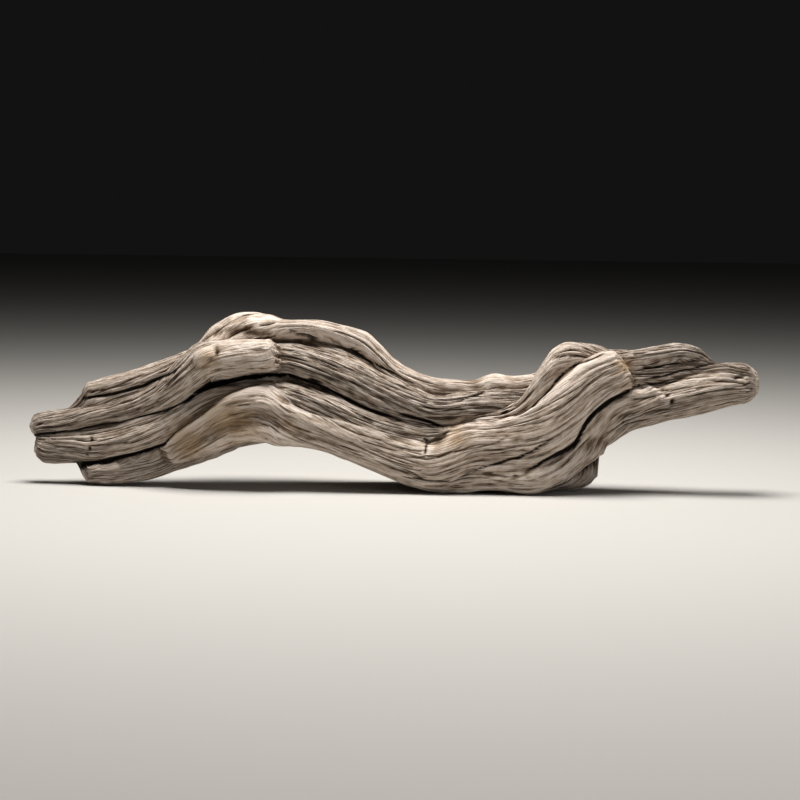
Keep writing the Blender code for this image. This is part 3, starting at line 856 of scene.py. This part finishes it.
class GrainFlow:
    """Slides the rings' points, so that each column of the mesh runs along the grain.

    A place in a ring is its share of the way around it, from the back over the
    underside. The front counts for more than its length, to get more columns.
    """

    FINE = 640  # rays in a ring
    PROBES = 208  # places in a ring where the grain is read
    LEAST_SPREAD = 20.0  # keeps the slide small where the grain runs around the ring
    FRONT_SHARE = 0.4  # how many more columns the front gets than the back
    EVENING = 0.04  # share of the way back to even spacing at each ring
    LEAST_GAP = 0.45  # of the even spacing
    STEEPEST = 0.02  # share of the way around that a column may slide at each ring

    def __init__(self, rays: SpineRays, bundle: Bundle) -> None:
        """Casts the rings and measures how fast the grain crosses their points.

        A column that keeps to the grain's way T has P_u du + P_q dq along T, where P_u
        and P_q are the skin's changes from ring to ring and with the share q. Crossed
        with T and taken along the normal N: dq/du = -(P_u x T)·N / (P_q x T)·N.
        """
        self.rays = rays
        angle = (np.arange(self.FINE) / self.FINE * 2 - 1) * math.pi
        self.rings = rays.rings(bundle, angle)
        gap = np.linalg.norm(np.roll(self.rings, -1, axis=1) - self.rings, axis=-1)
        gap = (gap + 1e-6) * (1.0 + self.FRONT_SHARE * (1.0 + np.cos(angle)) / 2.0)
        gap = blurred_round(gap / gap.mean(axis=1, keepdims=True), 7.0, 2.0)
        self.share = np.cumsum(gap, axis=1) / gap.sum(axis=1, keepdims=True)
        self.share = np.hstack([np.zeros((rays.count, 1)), self.share[:, :-1]])
        self.probe = np.arange(self.PROBES) / self.PROBES
        points = self.points(np.broadcast_to(self.probe, (rays.count, self.PROBES)))
        along = np.gradient(points, axis=0)
        around = (np.roll(points, -1, axis=1) - np.roll(points, 1, axis=1)) * self.PROBES / 2
        normal = ring_normals(points)
        way = bundle.grain(points.reshape(-1, 3))[0].reshape(points.shape)
        rise = np.einsum("ijk,ijk->ij", np.cross(along, way), normal)
        spread = np.einsum("ijk,ijk->ij", np.cross(around, way), normal)
        slide = -rise / np.minimum(spread, -self.LEAST_SPREAD)
        slide = np.clip(slide, -self.STEEPEST, self.STEEPEST)
        self.slide = blurred_round(slide, 2.0, 3.0)

    def points(self, share: Array) -> Array:
        """Reads the skin at shares of the way around, one row for each ring."""
        return np.stack([
            np.stack([np.interp(row, known, ring[:, i], period=1.0) for i in range(3)], axis=-1)
            for row, known, ring in zip(share, self.share, self.rings)])

    def _next_ring(self, share: Array, ring: int, step: int) -> Array:
        """Carries a ring's places along the grain to the next ring.

        Args:
            share: the places in the ring before.
            ring: the ring to reach.
            step: 1 towards the right end, -1 towards the left.

        Returns:
            The places in the ring, their gaps evened a little.
        """
        slid = share + step * np.interp(share, self.probe, self.slide[ring], period=1.0)
        gap = np.diff(slid, append=slid[0] + 1.0)
        even = 1.0 / len(gap)
        gap = np.maximum(gap + self.EVENING * (even - gap), self.LEAST_GAP * even)
        spaced = np.concatenate([[0.0], np.cumsum(gap[:-1])]) / gap.sum()
        return spaced + (slid - spaced).mean()

    def columns(self, count: int) -> Array:
        """Returns each column's place in every ring, from the middle ring outwards."""
        result = np.empty((self.rays.count, count))
        middle = self.rays.count // 2
        result[middle] = np.arange(count) / count
        for step, stop in ((1, self.rays.count), (-1, -1)):
            for ring in range(middle + step, stop, step):
                before = result[ring - step]
                in_fan = self.rays.lean[ring] != 0
                result[ring] = before if in_fan else self._next_ring(before, ring, step)
        return result


# ---------------------------------------------------------------- the piece of wood

@dataclass
class Driftwood:
    """The whole piece: its skin, carved and weathered, and its finish.

    Attributes:
        columns: points in each ring of the skin.
        ridge_pitch: millimetres from one ridge of weathered grain to the next.
        ridge_height: how far ridges stand out where the grain is at its most open.
        checks: how many short drying cracks there are.
        check_depth: how deep the deepest of them goes.
        check_width: half the width of the widest.
        pit_depth: how deeply the broken ends are pitted.
        crest_bleach_and_highlight: how much paler a crest is painted for each millimetre it stands
            out,
        partly as bleached wood and partly as a painted highlight.
        check_painted_shade: how dark the deepest drying crack is painted, as shade inside it.
        hollow_painted_shade: how dark the bottom of a hollow is painted, as shade.
        seam_painted_shade: how dark the wood is painted where two strands meet, as shade in the
            crease.
        rest_wear: how much of the lowest wood is rubbed flat where the piece rests.
        bundle: the strands that the wood is made of.
        rays: the rings that find its skin.
    """

    BROKEN_SLANT: ClassVar[tuple[float, float]] = (0.4, 0.75)  # where grain runs out of the skin
    SEAM: ClassVar[tuple[float, float]] = (0.35, 0.65)  # where two strands count as meeting
    PIT_SIZES: ClassVar[tuple[float, float]] = (2.4, 1.3)  # millimetres, coarse and fine
    WANDER: ClassVar[float] = 0.7  # millimetres that a mark strays from its drawn path
    WANDER_LENGTH: ClassVar[float] = 7.0  # millimetres from one turn of that to the next
    # the heights at which raised wood is painted palest, as rubbed wood and as a painted highlight
    FULLY_PALE_AT: ClassVar[tuple[float, float]] = (0.3, 12.0)  # millimetres, fine and broad
    FAN_TAPER: ClassVar[float] = 2.5  # how soon the relief fades towards the two poles
    # The least and the most of a drying crack's half length in rings, size, drift and bend.
    CHECK_LEAST: ClassVar[tuple[float, ...]] = (1.5, 0.3, -0.3, -0.05)
    CHECK_MOST: ClassVar[tuple[float, ...]] = (8, 1.0, 0.3, 0.05)

    columns: int = 416
    ridge_pitch: float = 1.8
    ridge_height: float = 1.5
    checks: int = 2600
    check_depth: float = 1.8
    check_width: float = 0.65
    pit_depth: float = 0.7
    crest_bleach_and_highlight: float = 0.3
    check_painted_shade: float = 0.8
    hollow_painted_shade: float = 0.4
    seam_painted_shade: float = 0.3
    rest_wear: float = 0.9
    bundle: Bundle = field(default_factory=lambda: Bundle(STRANDS))
    rays: SpineRays = field(default_factory=SpineRays)

    def build(self) -> bpy.types.Object:
        """Makes the skin and its attributes.

        Returns:
            The mesh object, in place in the row frame.
        """
        flow = GrainFlow(self.rays, self.bundle)
        points = flow.points(flow.columns(self.columns))
        shape = points.shape[:2]
        log.info("skin of %d rings of %d points", *shape)
        grain = self.unrolled(points)
        way, roughness, seam = self.bundle.grain(points.reshape(-1, 3))
        roughness, seam = roughness.reshape(shape), seam.reshape(shape)
        carve, cut, raised = self.marked(points)
        check = self.checked(points, roughness)
        normal = ring_normals(points)
        slant = np.abs((normal * way.reshape(points.shape)).sum(axis=-1))
        broken = blurred_round(eased(*self.BROKEN_SLANT, slant), 1.0, 1.0)
        check *= 1.0 - broken
        coarse, fine = self.PIT_SIZES
        pits = Lattice(18).at(points / coarse) + 0.6 * Lattice(19).at(points / fine)
        relief = (1.0 - broken) * self.weathered(grain, roughness) + self.pit_depth * broken * pits
        outward = unit(blurred_round(normal, 1.0, 2.5))
        tapered = np.clip(np.cos(self.rays.lean) * self.FAN_TAPER, 0, 1)[:, None]
        height = relief - check * self.check_depth + raised
        points += tapered[..., None] * (height[..., None] * outward + carve)
        # Painted shade: splits, hollows, drying checks and the seams between strands are darkened.
        dark = np.maximum(cut, self.check_painted_shade * check)
        shared = eased(*self.SEAM, blurred_round(seam, 1.0, 1.0))
        dark = np.maximum(dark, self.seam_painted_shade * shared)
        # Painted light: wear makes raised wood paler, partly as rubbed wood and partly as a painted
        # highlight, and recessed wood darker as painted shade; a crest adds paleness for its
        # height.
        wear = self.prominence(points) + self.crest_bleach_and_highlight * raised
        values = {"dark": dark, "wear": wear, "open_grain": roughness,
                  "fresh": self.fresh(points), "broken": broken}
        return self.mesh_object(self.placed(points), grain, values)

    def unrolled(self, points: Array) -> Array:
        """Gives every point its place in straight grain, in millimetres.

        The first value is the length of its column from the left end. The other two are
        R cos(a) and R sin(a), where R is the mean radius of the rings and a is the
        column's share of the way around, so that the pattern closes on itself.
        """
        run = np.linalg.norm(np.diff(points, axis=0), axis=-1)
        length = np.vstack([np.zeros((1, points.shape[1])), np.cumsum(run, axis=0)])
        gap = np.linalg.norm(np.roll(points, -1, axis=1) - points, axis=-1)
        body = gap[self.rays.lean == 0]
        share = np.cumsum(body, axis=1) / body.sum(axis=1, keepdims=True)
        turn = np.broadcast_to(2 * math.pi * share.mean(axis=0), length.shape)
        radius = body.sum(axis=1).mean() / (2 * math.pi)
        length = blurred_round(length, 1.0, 5.0)
        return np.stack([length, radius * np.cos(turn), radius * np.sin(turn)], axis=-1)

    def marked(self, points: Array) -> tuple[Array, Array, Array]:
        """Measures every mark at every point.

        Args:
            points: the skin.

        Returns:
            The offset of the deepest split or hollow, straight in from its own side; how
            dark it is painted there, as shade, 0 to 1; and how high crests and bosses stand.
        """
        normal = ring_normals(points).reshape(-1, 3)
        flat = points.reshape(-1, 3)
        wander = Lattice(5)
        drawn = flat / self.WANDER_LENGTH
        drift = self.WANDER * np.stack([wander.at(drawn), wander.at(drawn + 31.0)], axis=1)
        carve, cut = np.zeros((len(flat), 3)), np.zeros(len(flat))
        dark, raised = np.zeros(len(flat)), np.zeros(len(flat))
        for mark in MARKS:
            i, j, outward = mark.side.value
            facing = eased(-0.1, 0.35, normal @ np.array(outward))
            path = smooth_curve(np.array(mark.points, float), 8)
            reach = 4.0 * path[:, 2].max() + 1.0
            place = flat[:, (i, j)] + drift
            near = np.flatnonzero(
                (facing > 0)
                & np.all(place > path[:, :2].min(axis=0) - reach, axis=1)
                & np.all(place < path[:, :2].max(axis=0) + reach, axis=1))
            height = facing[near] * mark.height_at(place[near], path)
            if mark.cut in (Cut.CREST, Cut.BOSS):
                raised[near] = np.maximum(raised[near], height)
                continue
            deeper = near[height > cut[near]]
            cut[near] = np.maximum(cut[near], height)
            carve[deeper] = -cut[deeper, None] * np.array(outward)
            # Painted shade inside the split or hollow, darker where it is deeper.
            shade = eased(0.3, 1.8, height) * (1.0 if mark.cut is Cut.SPLIT else self.hollow_painted_shade)
            dark[near] = np.maximum(dark[near], shade)
        shape = points.shape[:2]
        return carve.reshape(points.shape), dark.reshape(shape), raised.reshape(shape)

    def checked(self, points: Array, roughness: Array) -> Array:
        """Opens short drying cracks, each along one column with a slight drift.

        Across, a crack falls off as 1 - distance / half width. Along, it falls off as
        the square root of 1 - t², with t from -1 to 1 between its ends. Its half length
        in rings, its size, its drift and its bend are drawn between two limits.

        Args:
            points: the skin.
            roughness: how open the grain is; open grain has more cracks.

        Returns:
            Each point's share of the deepest crack's depth.
        """
        rings, columns = roughness.shape
        gap = np.linalg.norm(np.roll(points, -1, axis=1) - points, axis=-1)
        share = np.zeros_like(roughness)
        draw = np.random.default_rng(21)
        beside = np.arange(-6, 7)
        for _ in range(self.checks):
            ring, column = draw.integers(rings), draw.integers(columns)
            half, size, drift, bend = draw.uniform(self.CHECK_LEAST, self.CHECK_MOST)
            if draw.uniform() > 0.05 + roughness[ring, column]:
                continue
            step = np.arange(-int(half), int(half) + 1)
            step = step[(ring + step >= 0) & (ring + step < rings)]
            centre = column + drift * step + bend * step**2
            place = np.round(centre)[:, None].astype(int) + beside
            cell = (ring + step)[:, None], place % columns
            away = np.abs(place - centre[:, None]) * gap[cell] / (self.check_width * size)
            taper = np.sqrt(1.0 - (step / (half + 1.0)) ** 2)[:, None]
            share[cell] = np.maximum(share[cell], size * taper * np.clip(1.0 - away, 0.0, 1.0))
        return share

    def weathered(self, grain: Array, roughness: Array) -> Array:
        """Cuts ridges along the grain, and dents across it.

        Ridges are |n| for a noise n drawn out along the grain, with its mean of 0.3 taken
        off. Fine lines, dents and slow waves are plain noise. All but the waves are less
        on smooth strands, which keep 0.15 of their height.

        Args:
            grain: each point's place in straight grain.
            roughness: how open its grain is, 0 to 1.

        Returns:
            The height in millimetres.
        """
        def drawn(seed: int, long: float, wide: float) -> Array:
            """Returns noise with marks long along the grain and wide across it."""
            return Lattice(seed).at(grain / np.array([long, wide, wide]))

        pitch = self.ridge_pitch
        broad = np.abs(drawn(11, 48.0, 2.0 * pitch)) - 0.3
        narrow = np.abs(drawn(12, 24.0, pitch)) - 0.3
        fine = drawn(16, 12.0, 0.55 * pitch)
        dents = drawn(17, 5.0, 1.7 * pitch)
        waves = drawn(13, 24.0, 5.0 * pitch)
        height = self.ridge_height * (0.15 + 0.85 * roughness)
        return height * (0.7 * broad + 0.9 * narrow + 0.35 * fine + 0.3 * dents) + 0.8 * waves

    def prominence(self, points: Array) -> Array:
        """Says how far each point stands out from the skin around it, 0 to 1.

        It is the sum of two heights above a blurred copy of the skin, a fine and a
        broad one, each over the height at which the wood is at its palest, eased from -1
        to 1. Raised wood is then painted paler, partly as rubbed and bleached wood and
        partly as a painted highlight, and recessed wood darker, as painted shade.
        """
        normal = ring_normals(points)

        def height(along: float, around: float) -> Array:
            """Returns how far the skin stands above its blurred copy."""
            above = points - blurred_round(points, along, around)
            return np.einsum("ijk,ijk->ij", above, normal)

        fine, broad = height(1.2, 2.5), height(4.0, 10.0)
        fine_palest, broad_palest = self.FULLY_PALE_AT
        return eased(-1.0, 1.0, fine / fine_palest + broad / broad_palest)

    def fresh(self, points: Array) -> Array:
        """Says how much fresh wood shows at each point: the most of exp(-(d / spread)²)."""
        gap = [np.hypot(points[..., 0] - x, points[..., 2] - z) / spread
               for x, z, spread, _ in FRESH_WOOD]
        share = np.array([place[3] for place in FRESH_WOOD])[:, None, None]
        return (share * np.exp(-np.square(gap))).max(axis=0) * (points[..., 1] < 0)

    def placed(self, points: Array) -> Array:
        """Scales the skin to the modelled length, centres it and rests it on the ground."""
        low, high = (np.array(corner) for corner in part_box(NODE))
        flat = points.reshape(-1, 3)
        lowest, highest = flat.min(axis=0), flat.max(axis=0)
        scale = (high[0] - low[0]) / (highest[0] - lowest[0])
        middle = (lowest + highest) / 2
        result = (points - middle) * scale
        result[..., 0] += (low[0] + high[0]) / 2
        result[..., 1] += (low[1] + high[1]) / 2
        result[..., 2] -= result[..., 2].min() + self.rest_wear * scale
        result[..., 2] = np.maximum(result[..., 2], 0.0)
        return result

    def mesh_object(self, points: Array, grain: Array,
                    shares: dict[str, Array]) -> bpy.types.Object:
        """Joins the rings with quads, closes both poles with triangles and adds attributes.

        Args:
            points: the skin's points in metres, by ring and place; the first and the
                last ring are one point each.
            grain: each point's place in straight grain.
            shares: each point's values by attribute name.

        Returns:
            The object.
        """
        rings, columns = points.shape[:2]

        def kept(values: Array) -> Array:
            """Lists a ring grid's values with one value for each pole."""
            inner = values[1:-1].reshape(-1, *values.shape[2:])
            return np.concatenate([values[0, :1], inner, values[-1, :1]])

        index = 1 + np.arange((rings - 2) * columns).reshape(rings - 2, columns)
        beside = np.roll(index, -1, axis=1)
        last = index[-1, -1] + 1
        quads = np.stack([index[:-1], index[1:], beside[1:], beside[:-1]], axis=-1)
        first_fan = np.stack([np.zeros_like(index[0]), index[0], beside[0]], axis=-1)
        last_fan = np.stack([index[-1], np.full_like(index[0], last), beside[-1]], axis=-1)
        faces = quads.reshape(-1, 4).tolist() + first_fan.tolist() + last_fan.tolist()
        mesh = bpy.data.meshes.new("driftwood_skin")
        mesh.from_pydata(kept(points).tolist(), [], faces)
        attribute = mesh.attributes.new("grain", "FLOAT_VECTOR", "POINT")
        attribute.data.foreach_set("vector", kept(grain).astype(np.float32).ravel())
        for name, values in shares.items():
            attribute = mesh.attributes.new(name, "FLOAT", "POINT")
            attribute.data.foreach_set("value", kept(values).astype(np.float32))
        mesh.shade_smooth()
        piece = bpy.data.objects.new("driftwood_skin", mesh)
        bpy.context.scene.collection.objects.link(piece)
        log.info("driftwood skin: %d faces", len(faces))
        return piece

    def dress(self, piece: bpy.types.Object, finish: "WeatheredWood") -> None:
        piece.data.materials.append(finish.material())
        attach(piece, "root")
        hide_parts(NODE)


# ---------------------------------------------------------------- the finish

def linear(code: str) -> tuple[float, float, float, float]:
    """Turns an sRGB hex colour such as #8a7f70 into linear values with full alpha."""
    values = (int(code[i:i + 2], 16) / 255 for i in (1, 3, 5))
    red, green, blue = (v / 12.92 if v <= 0.04045 else ((v + 0.055) / 1.055) ** 2.4 for v in values)
    return red, green, blue, 1.0


def add_node(tree: bpy.types.NodeTree, kind: str, settings: dict[str, str] | None = None,
             inputs: dict[str | int, object] | None = None,
             output: str | int = 0) -> bpy.types.NodeSocket | None:
    """Adds a node to a material.

    Args:
        tree: the material's node tree.
        kind: Blender's name of the node, less its "ShaderNode".
        settings: the node's properties by name.
        inputs: by a socket's name or number, the value it holds or the socket it reads.
        output: the name or number of the socket to return.

    Returns:
        The output socket, or None for a node that has none.
    """
    node = tree.nodes.new("ShaderNode" + kind)
    for name, value in (settings or {}).items():
        setattr(node, name, value)
    for key, value in (inputs or {}).items():
        if isinstance(value, bpy.types.NodeSocket):
            tree.links.new(value, node.inputs[key])
        else:
            node.inputs[key].default_value = value
    return node.outputs[output] if node.outputs else None


# Settings of the nodes that work on two values, of a smooth range and of mixed colours.
PLUS, MINUS, TIMES, GREATER = (
    {"operation": name} for name in ("ADD", "SUBTRACT", "MULTIPLY", "MAXIMUM"))
SMOOTHLY = {"interpolation_type": "SMOOTHSTEP"}
COLOURS = {"data_type": "RGBA"}


@dataclass(frozen=True)
class WeatheredWood:
    """Driftwood: softwood that water, sand and sun have stripped and greyed.

    Rolling in the surf rubs away the soft early wood, and salt and sun take the colour
    out of what is left, so the eye gets a dull, dry surface: pale silver-beige ridges,
    grey-brown furrows, and tan where fresher wood shows. The ridges are painted paler
    and the furrows darker also as painted highlight and painted shade, and the splits,
    checks, hollows and seams are painted nearly black as shade.
    Lengths are in millimetres, with a pattern's length along the grain first.
    """

    # pale goes on raised wood, partly as bleached wood and partly as a painted highlight; furrow
    # goes on recessed wood, partly as dark grain and partly as painted shade.
    pale: str = "#d8cabe"
    middle: str = "#ac9a89"
    furrow: str = "#5d4936"
    tan: str = "#a98a63"
    # Painted shade: the nearly black of splits, checks, hollows, seams and fine cracks.
    inside: str = "#22150c"
    roughness: float = 0.86
    ior: float = 1.45
    fibre: tuple[float, float] = (8.0, 0.5)  # real fibres are finer than can show
    streak: tuple[float, float] = (26.0, 1.7)  # from one dark growth line to the next
    blotch: tuple[float, float] = (6.0, 2.6)
    patch: tuple[float, float] = (45.0, 15.0)  # of fresher and greyer wood
    split: tuple[float, float] = (30.0, 1.1)
    crevice: tuple[float, float] = (13.0, 0.7)
    pit: float = 1.6  # across a pit in a broken end
    fibre_depth: float = 0.0009  # metres
    warmth: float = 0.65  # how much of the tan shows in the freshest wood

    def material(self) -> bpy.types.Material:
        """Builds the material from the attributes that the piece's mesh carries.

        The grain attribute gives the fibres their way. The tone comes from wear,
        open_grain, dark, fresh and broken, and the bump only adds fibres too fine for
        the mesh. The attribute wear makes raised wood paler, partly as rubbed wood and
        partly as a painted highlight, and recessed wood darker as painted shade; dark
        lays painted shade in splits, checks, hollows and seams.
        """
        material = bpy.data.materials.new("weathered driftwood")
        material.use_nodes = True
        tree = material.node_tree
        tree.nodes.clear()
        add = partial(add_node, tree)
        share = {name: add("Attribute", {"attribute_name": name}, output="Fac")
                 for name in ("wear", "open_grain", "dark", "fresh", "broken")}
        share["whole"] = add("Math", MINUS, {0: 1.0, 1: share["broken"]})
        opened = self.opened(tree, share)
        tone = self.tone(tree, share, opened)
        rub = add("Math", PLUS, {0: share["open_grain"], 1: 0.35})
        bump = add("Bump", {}, {"Strength": rub, "Distance": self.fibre_depth, "Height": tone})
        shader = add("BsdfPrincipled", {}, {
            "Base Color": self.colour(tree, share, opened, tone),
            "Roughness": self.roughness, "IOR": self.ior, "Normal": bump})
        add("OutputMaterial", {}, {"Surface": shader})
        return material

    @staticmethod
    def drawn(tree: bpy.types.NodeTree, size: tuple[float, float],
              detail: float) -> bpy.types.NodeSocket:
        """Adds noise drawn out along the grain.

        Args:
            tree: the material's node tree.
            size: how long and how wide its marks are.
            detail: how many finer layers it has.

        Returns:
            Its value, about 0.5 in the mean.
        """
        long, wide = size
        grain = add_node(tree, "Attribute", {"attribute_name": "grain"}, output="Vector")
        place = add_node(tree, "Mapping", {},
                         {"Vector": grain, "Scale": (1 / long, 1 / wide, 1 / wide)})
        return add_node(tree, "TexNoise", {},
                        {"Vector": place, "Scale": 1.0, "Detail": detail, "Roughness": 0.6})

    @staticmethod
    def swing(tree: bpy.types.NodeTree, value: bpy.types.NodeSocket,
              gain: float) -> bpy.types.NodeSocket:
        """Turns noise into a swing about 0: its value less 0.5, times the gain."""
        about = add_node(tree, "Math", MINUS, {0: value, 1: 0.5})
        return add_node(tree, "Math", TIMES, {0: about, 1: gain})

    def opened(self, tree: bpy.types.NodeTree,
               share: dict[str, bpy.types.NodeSocket]) -> bpy.types.NodeSocket:
        """Opens fine cracks between the fibres, where two long thin noises are lowest.

        Args:
            tree: the material's node tree.
            share: the mesh's attributes by name.

        Returns:
            How open a crack is, most where the grain is open and none in broken ends.
        """
        add = partial(add_node, tree)
        split, crevice = (
            add("MapRange", SMOOTHLY, {
                "Value": self.drawn(tree, size, 0.0), "From Min": 0.36, "From Max": deepest})
            for size, deepest in ((self.split, 0.22), (self.crevice, 0.2)))
        deeper = add("Math", GREATER, {0: split, 1: crevice})
        loose = add("Math", PLUS, {0: share["open_grain"], 1: 0.1})
        cracked = add("Math", TIMES, {0: deeper, 1: loose})
        return add("Math", TIMES, {0: cracked, 1: share["whole"]})

    def tone(self, tree: bpy.types.NodeTree, share: dict[str, bpy.types.NodeSocket],
             opened: bpy.types.NodeSocket) -> bpy.types.NodeSocket:
        """Adds the light and dark of fibres, streaks, blotches, and pits in broken ends.

        Args:
            tree: the material's node tree.
            share: the mesh's attributes by name.
            opened: how open the fine cracks are.

        Returns:
            The tone, 0 for the middle, more for paler wood.
        """
        add = partial(add_node, tree)
        fibre = self.swing(tree, self.drawn(tree, self.fibre, 3.0), 2.2)
        streak = self.swing(tree, self.drawn(tree, self.streak, 3.0), 1.6)
        blotch = self.swing(tree, self.drawn(tree, self.blotch, 4.0), 1.6)
        broad = add("Math", PLUS, {0: streak, 1: blotch})
        both = add("Math", PLUS, {0: fibre, 1: broad})
        grain = add("Math", TIMES, {0: both, 1: share["whole"]})
        # Painted shade: the fine cracks darken the tone.
        cracks = add("Math", TIMES, {0: opened, 1: 0.9})
        grain = add("Math", MINUS, {0: grain, 1: cracks})
        place = add("TexCoord", output="Object")
        pits = add("TexNoise", {}, {
            "Vector": place, "Scale": 1000.0 / self.pit, "Detail": 3.0, "Roughness": 0.6})
        pitted = add("Math", TIMES, {0: self.swing(tree, pits, 3.0), 1: share["broken"]})
        return add("Math", PLUS, {0: grain, 1: pitted})

    def colour(self, tree: bpy.types.NodeTree, share: dict[str, bpy.types.NodeSocket],
               opened: bpy.types.NodeSocket, tone: bpy.types.NodeSocket) -> bpy.types.NodeSocket:
        """Lays each colour over the ones before it, from the furrows to the cracks.

        Args:
            tree: the material's node tree.
            share: the mesh's attributes by name.
            opened: how open the fine cracks are.
            tone: the light and dark of the fibres.

        Returns:
            The colour.
        """
        add = partial(add_node, tree)
        # Painted light: the level lifts raised wood towards pale, partly as rubbed wood and partly
        # as a painted highlight, and sinks recessed wood towards furrow as painted shade, on top of
        # the grain's tone.
        level = add("Math", PLUS, {0: share["wear"], 1: tone})
        rubbed_and_lit = add("MapRange", SMOOTHLY, {"Value": level, "From Min": -0.35, "From Max": 0.55})
        crest = add("MapRange", SMOOTHLY, {"Value": level, "From Min": 0.45, "From Max": 1.25})
        patch = self.swing(tree, self.drawn(tree, self.patch, 2.0), 1.2)
        fresh = add("Math", PLUS, {0: share["fresh"], 1: patch})
        fresh = add("MapRange", SMOOTHLY, {"Value": fresh, "From Min": 0.1, "From Max": 0.9})
        warm = add("Math", TIMES, {0: fresh, 1: self.warmth})
        # Painted shade: dark, eased a little where the grain is paler, and the fine cracks lay the
        # nearly black inside colour.
        frayed = add("Math", TIMES, {0: tone, 1: 0.3})
        depth = add("Math", MINUS, {0: share["dark"], 1: frayed})
        depth = add("MapRange", SMOOTHLY, {"Value": depth, "From Min": 0.25, "From Max": 0.95})
        cracks = add("Math", TIMES, {0: opened, 1: 0.6})
        crack = add("Math", GREATER, {0: depth, 1: cracks})
        shade = linear(self.furrow)
        for cover, colour in ((rubbed_and_lit, self.middle), (crest, self.pale), (warm, self.tan),
                              (crack, self.inside)):
            shade = add("Mix", COLOURS, {0: cover, 6: shade, 7: linear(colour)}, output=2)
        return shade


@dataclass(frozen=True)
class PaintedFloor:
    """A matt painted studio floor: an even pale grey with no shine."""

    colour: str = "#b6b4b0"
    roughness: float = 0.9

    def material(self) -> bpy.types.Material:
        """Builds the plain material."""
        material = bpy.data.materials.new("matt studio paint")
        material.use_nodes = True
        shader = material.node_tree.nodes["Principled BSDF"]
        shader.inputs["Base Color"].default_value = linear(self.colour)
        shader.inputs["Roughness"].default_value = self.roughness
        return material


# ---------------------------------------------------------------- the studio

@dataclass(frozen=True)
class Lamp:
    """A soft lamp: a square of light, in metres, that looks at the middle of the piece."""

    name: str
    place: tuple[float, float, float]
    size: float
    watts: float
    colour: str = "#ffffff"

    def add(self, target: Vector) -> None:
        """Hangs the lamp in its place."""
        data = bpy.data.lights.new(self.name, "AREA")
        data.size, data.energy, data.color = self.size, self.watts, linear(self.colour)[:3]
        lamp = bpy.data.objects.new(self.name, data)
        lamp.location = self.place
        lamp.rotation_euler = (target - lamp.location).to_track_quat("-Z", "Y").to_euler()
        bpy.context.scene.collection.objects.link(lamp)


@dataclass
class Studio:
    """The floor, the lamps and the camera around the piece, in metres and degrees."""

    target: Vector = field(default_factory=lambda: Vector((0.0050, 0.0, 0.055)))
    distance: float = 1.373
    elevation: float = 5.0
    roll: float = 0.75
    lens: float = 100.0
    floor_size: float = 12.0
    ambient: float = 0.12
    lamps: tuple[Lamp, ...] = (
        Lamp("overhead_softbox", (-0.02, -0.04, 1.0), 0.5, 20.5, "#fffcf8"),
        Lamp("front_fill", (0.9, -1.0, 0.5), 0.7, 2.2),
    )

    def lay_floor(self) -> None:
        """Lays the floor at the height that the piece rests on."""
        half = self.floor_size / 2
        corners = half * np.array([(-1, -1, 0), (1, -1, 0), (1, 1, 0), (-1, 1, 0)], float)
        mesh = bpy.data.meshes.new("studio_floor")
        mesh.from_pydata(corners.tolist(), [], [(0, 1, 2, 3)])
        mesh.materials.append(PaintedFloor().material())
        floor = bpy.data.objects.new("studio_floor", mesh)
        bpy.context.scene.collection.objects.link(floor)

    def light(self) -> None:
        """Adds the lamps and a faint even light from all around."""
        for lamp in self.lamps:
            lamp.add(self.target)
        world = bpy.data.worlds.new("studio_air")
        world.use_nodes = True
        world.node_tree.nodes["Background"].inputs["Strength"].default_value = self.ambient
        bpy.context.scene.world = world
        bpy.context.scene.view_settings.view_transform = "Standard"

    def set_camera(self) -> None:
        """Points a long lens at the piece from a little above, rolled very slightly."""
        tilt = math.radians(self.elevation)
        back = Vector((0.0, -math.cos(tilt), math.sin(tilt)))
        data = bpy.data.cameras.new("studio_camera")
        data.lens = self.lens
        camera = bpy.data.objects.new("studio_camera", data)
        turn = (-back).to_track_quat("-Z", "Y").to_matrix()
        turn = turn @ Matrix.Rotation(math.radians(self.roll), 3, "Z")
        camera.matrix_world = Matrix.Translation(self.target + self.distance * back) @ turn.to_4x4()
        bpy.context.scene.collection.objects.link(camera)
        bpy.context.scene.camera = camera


def main() -> None:
    """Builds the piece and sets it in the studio."""
    logging.basicConfig(level=logging.INFO, format="%(name)s: %(message)s")
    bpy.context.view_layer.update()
    wood = Driftwood()
    piece = wood.build()
    wood.dress(piece, WeatheredWood())
    studio = Studio()
    studio.lay_floor()
    studio.light()
    studio.set_camera()


if __name__ == "__main__":
    main()
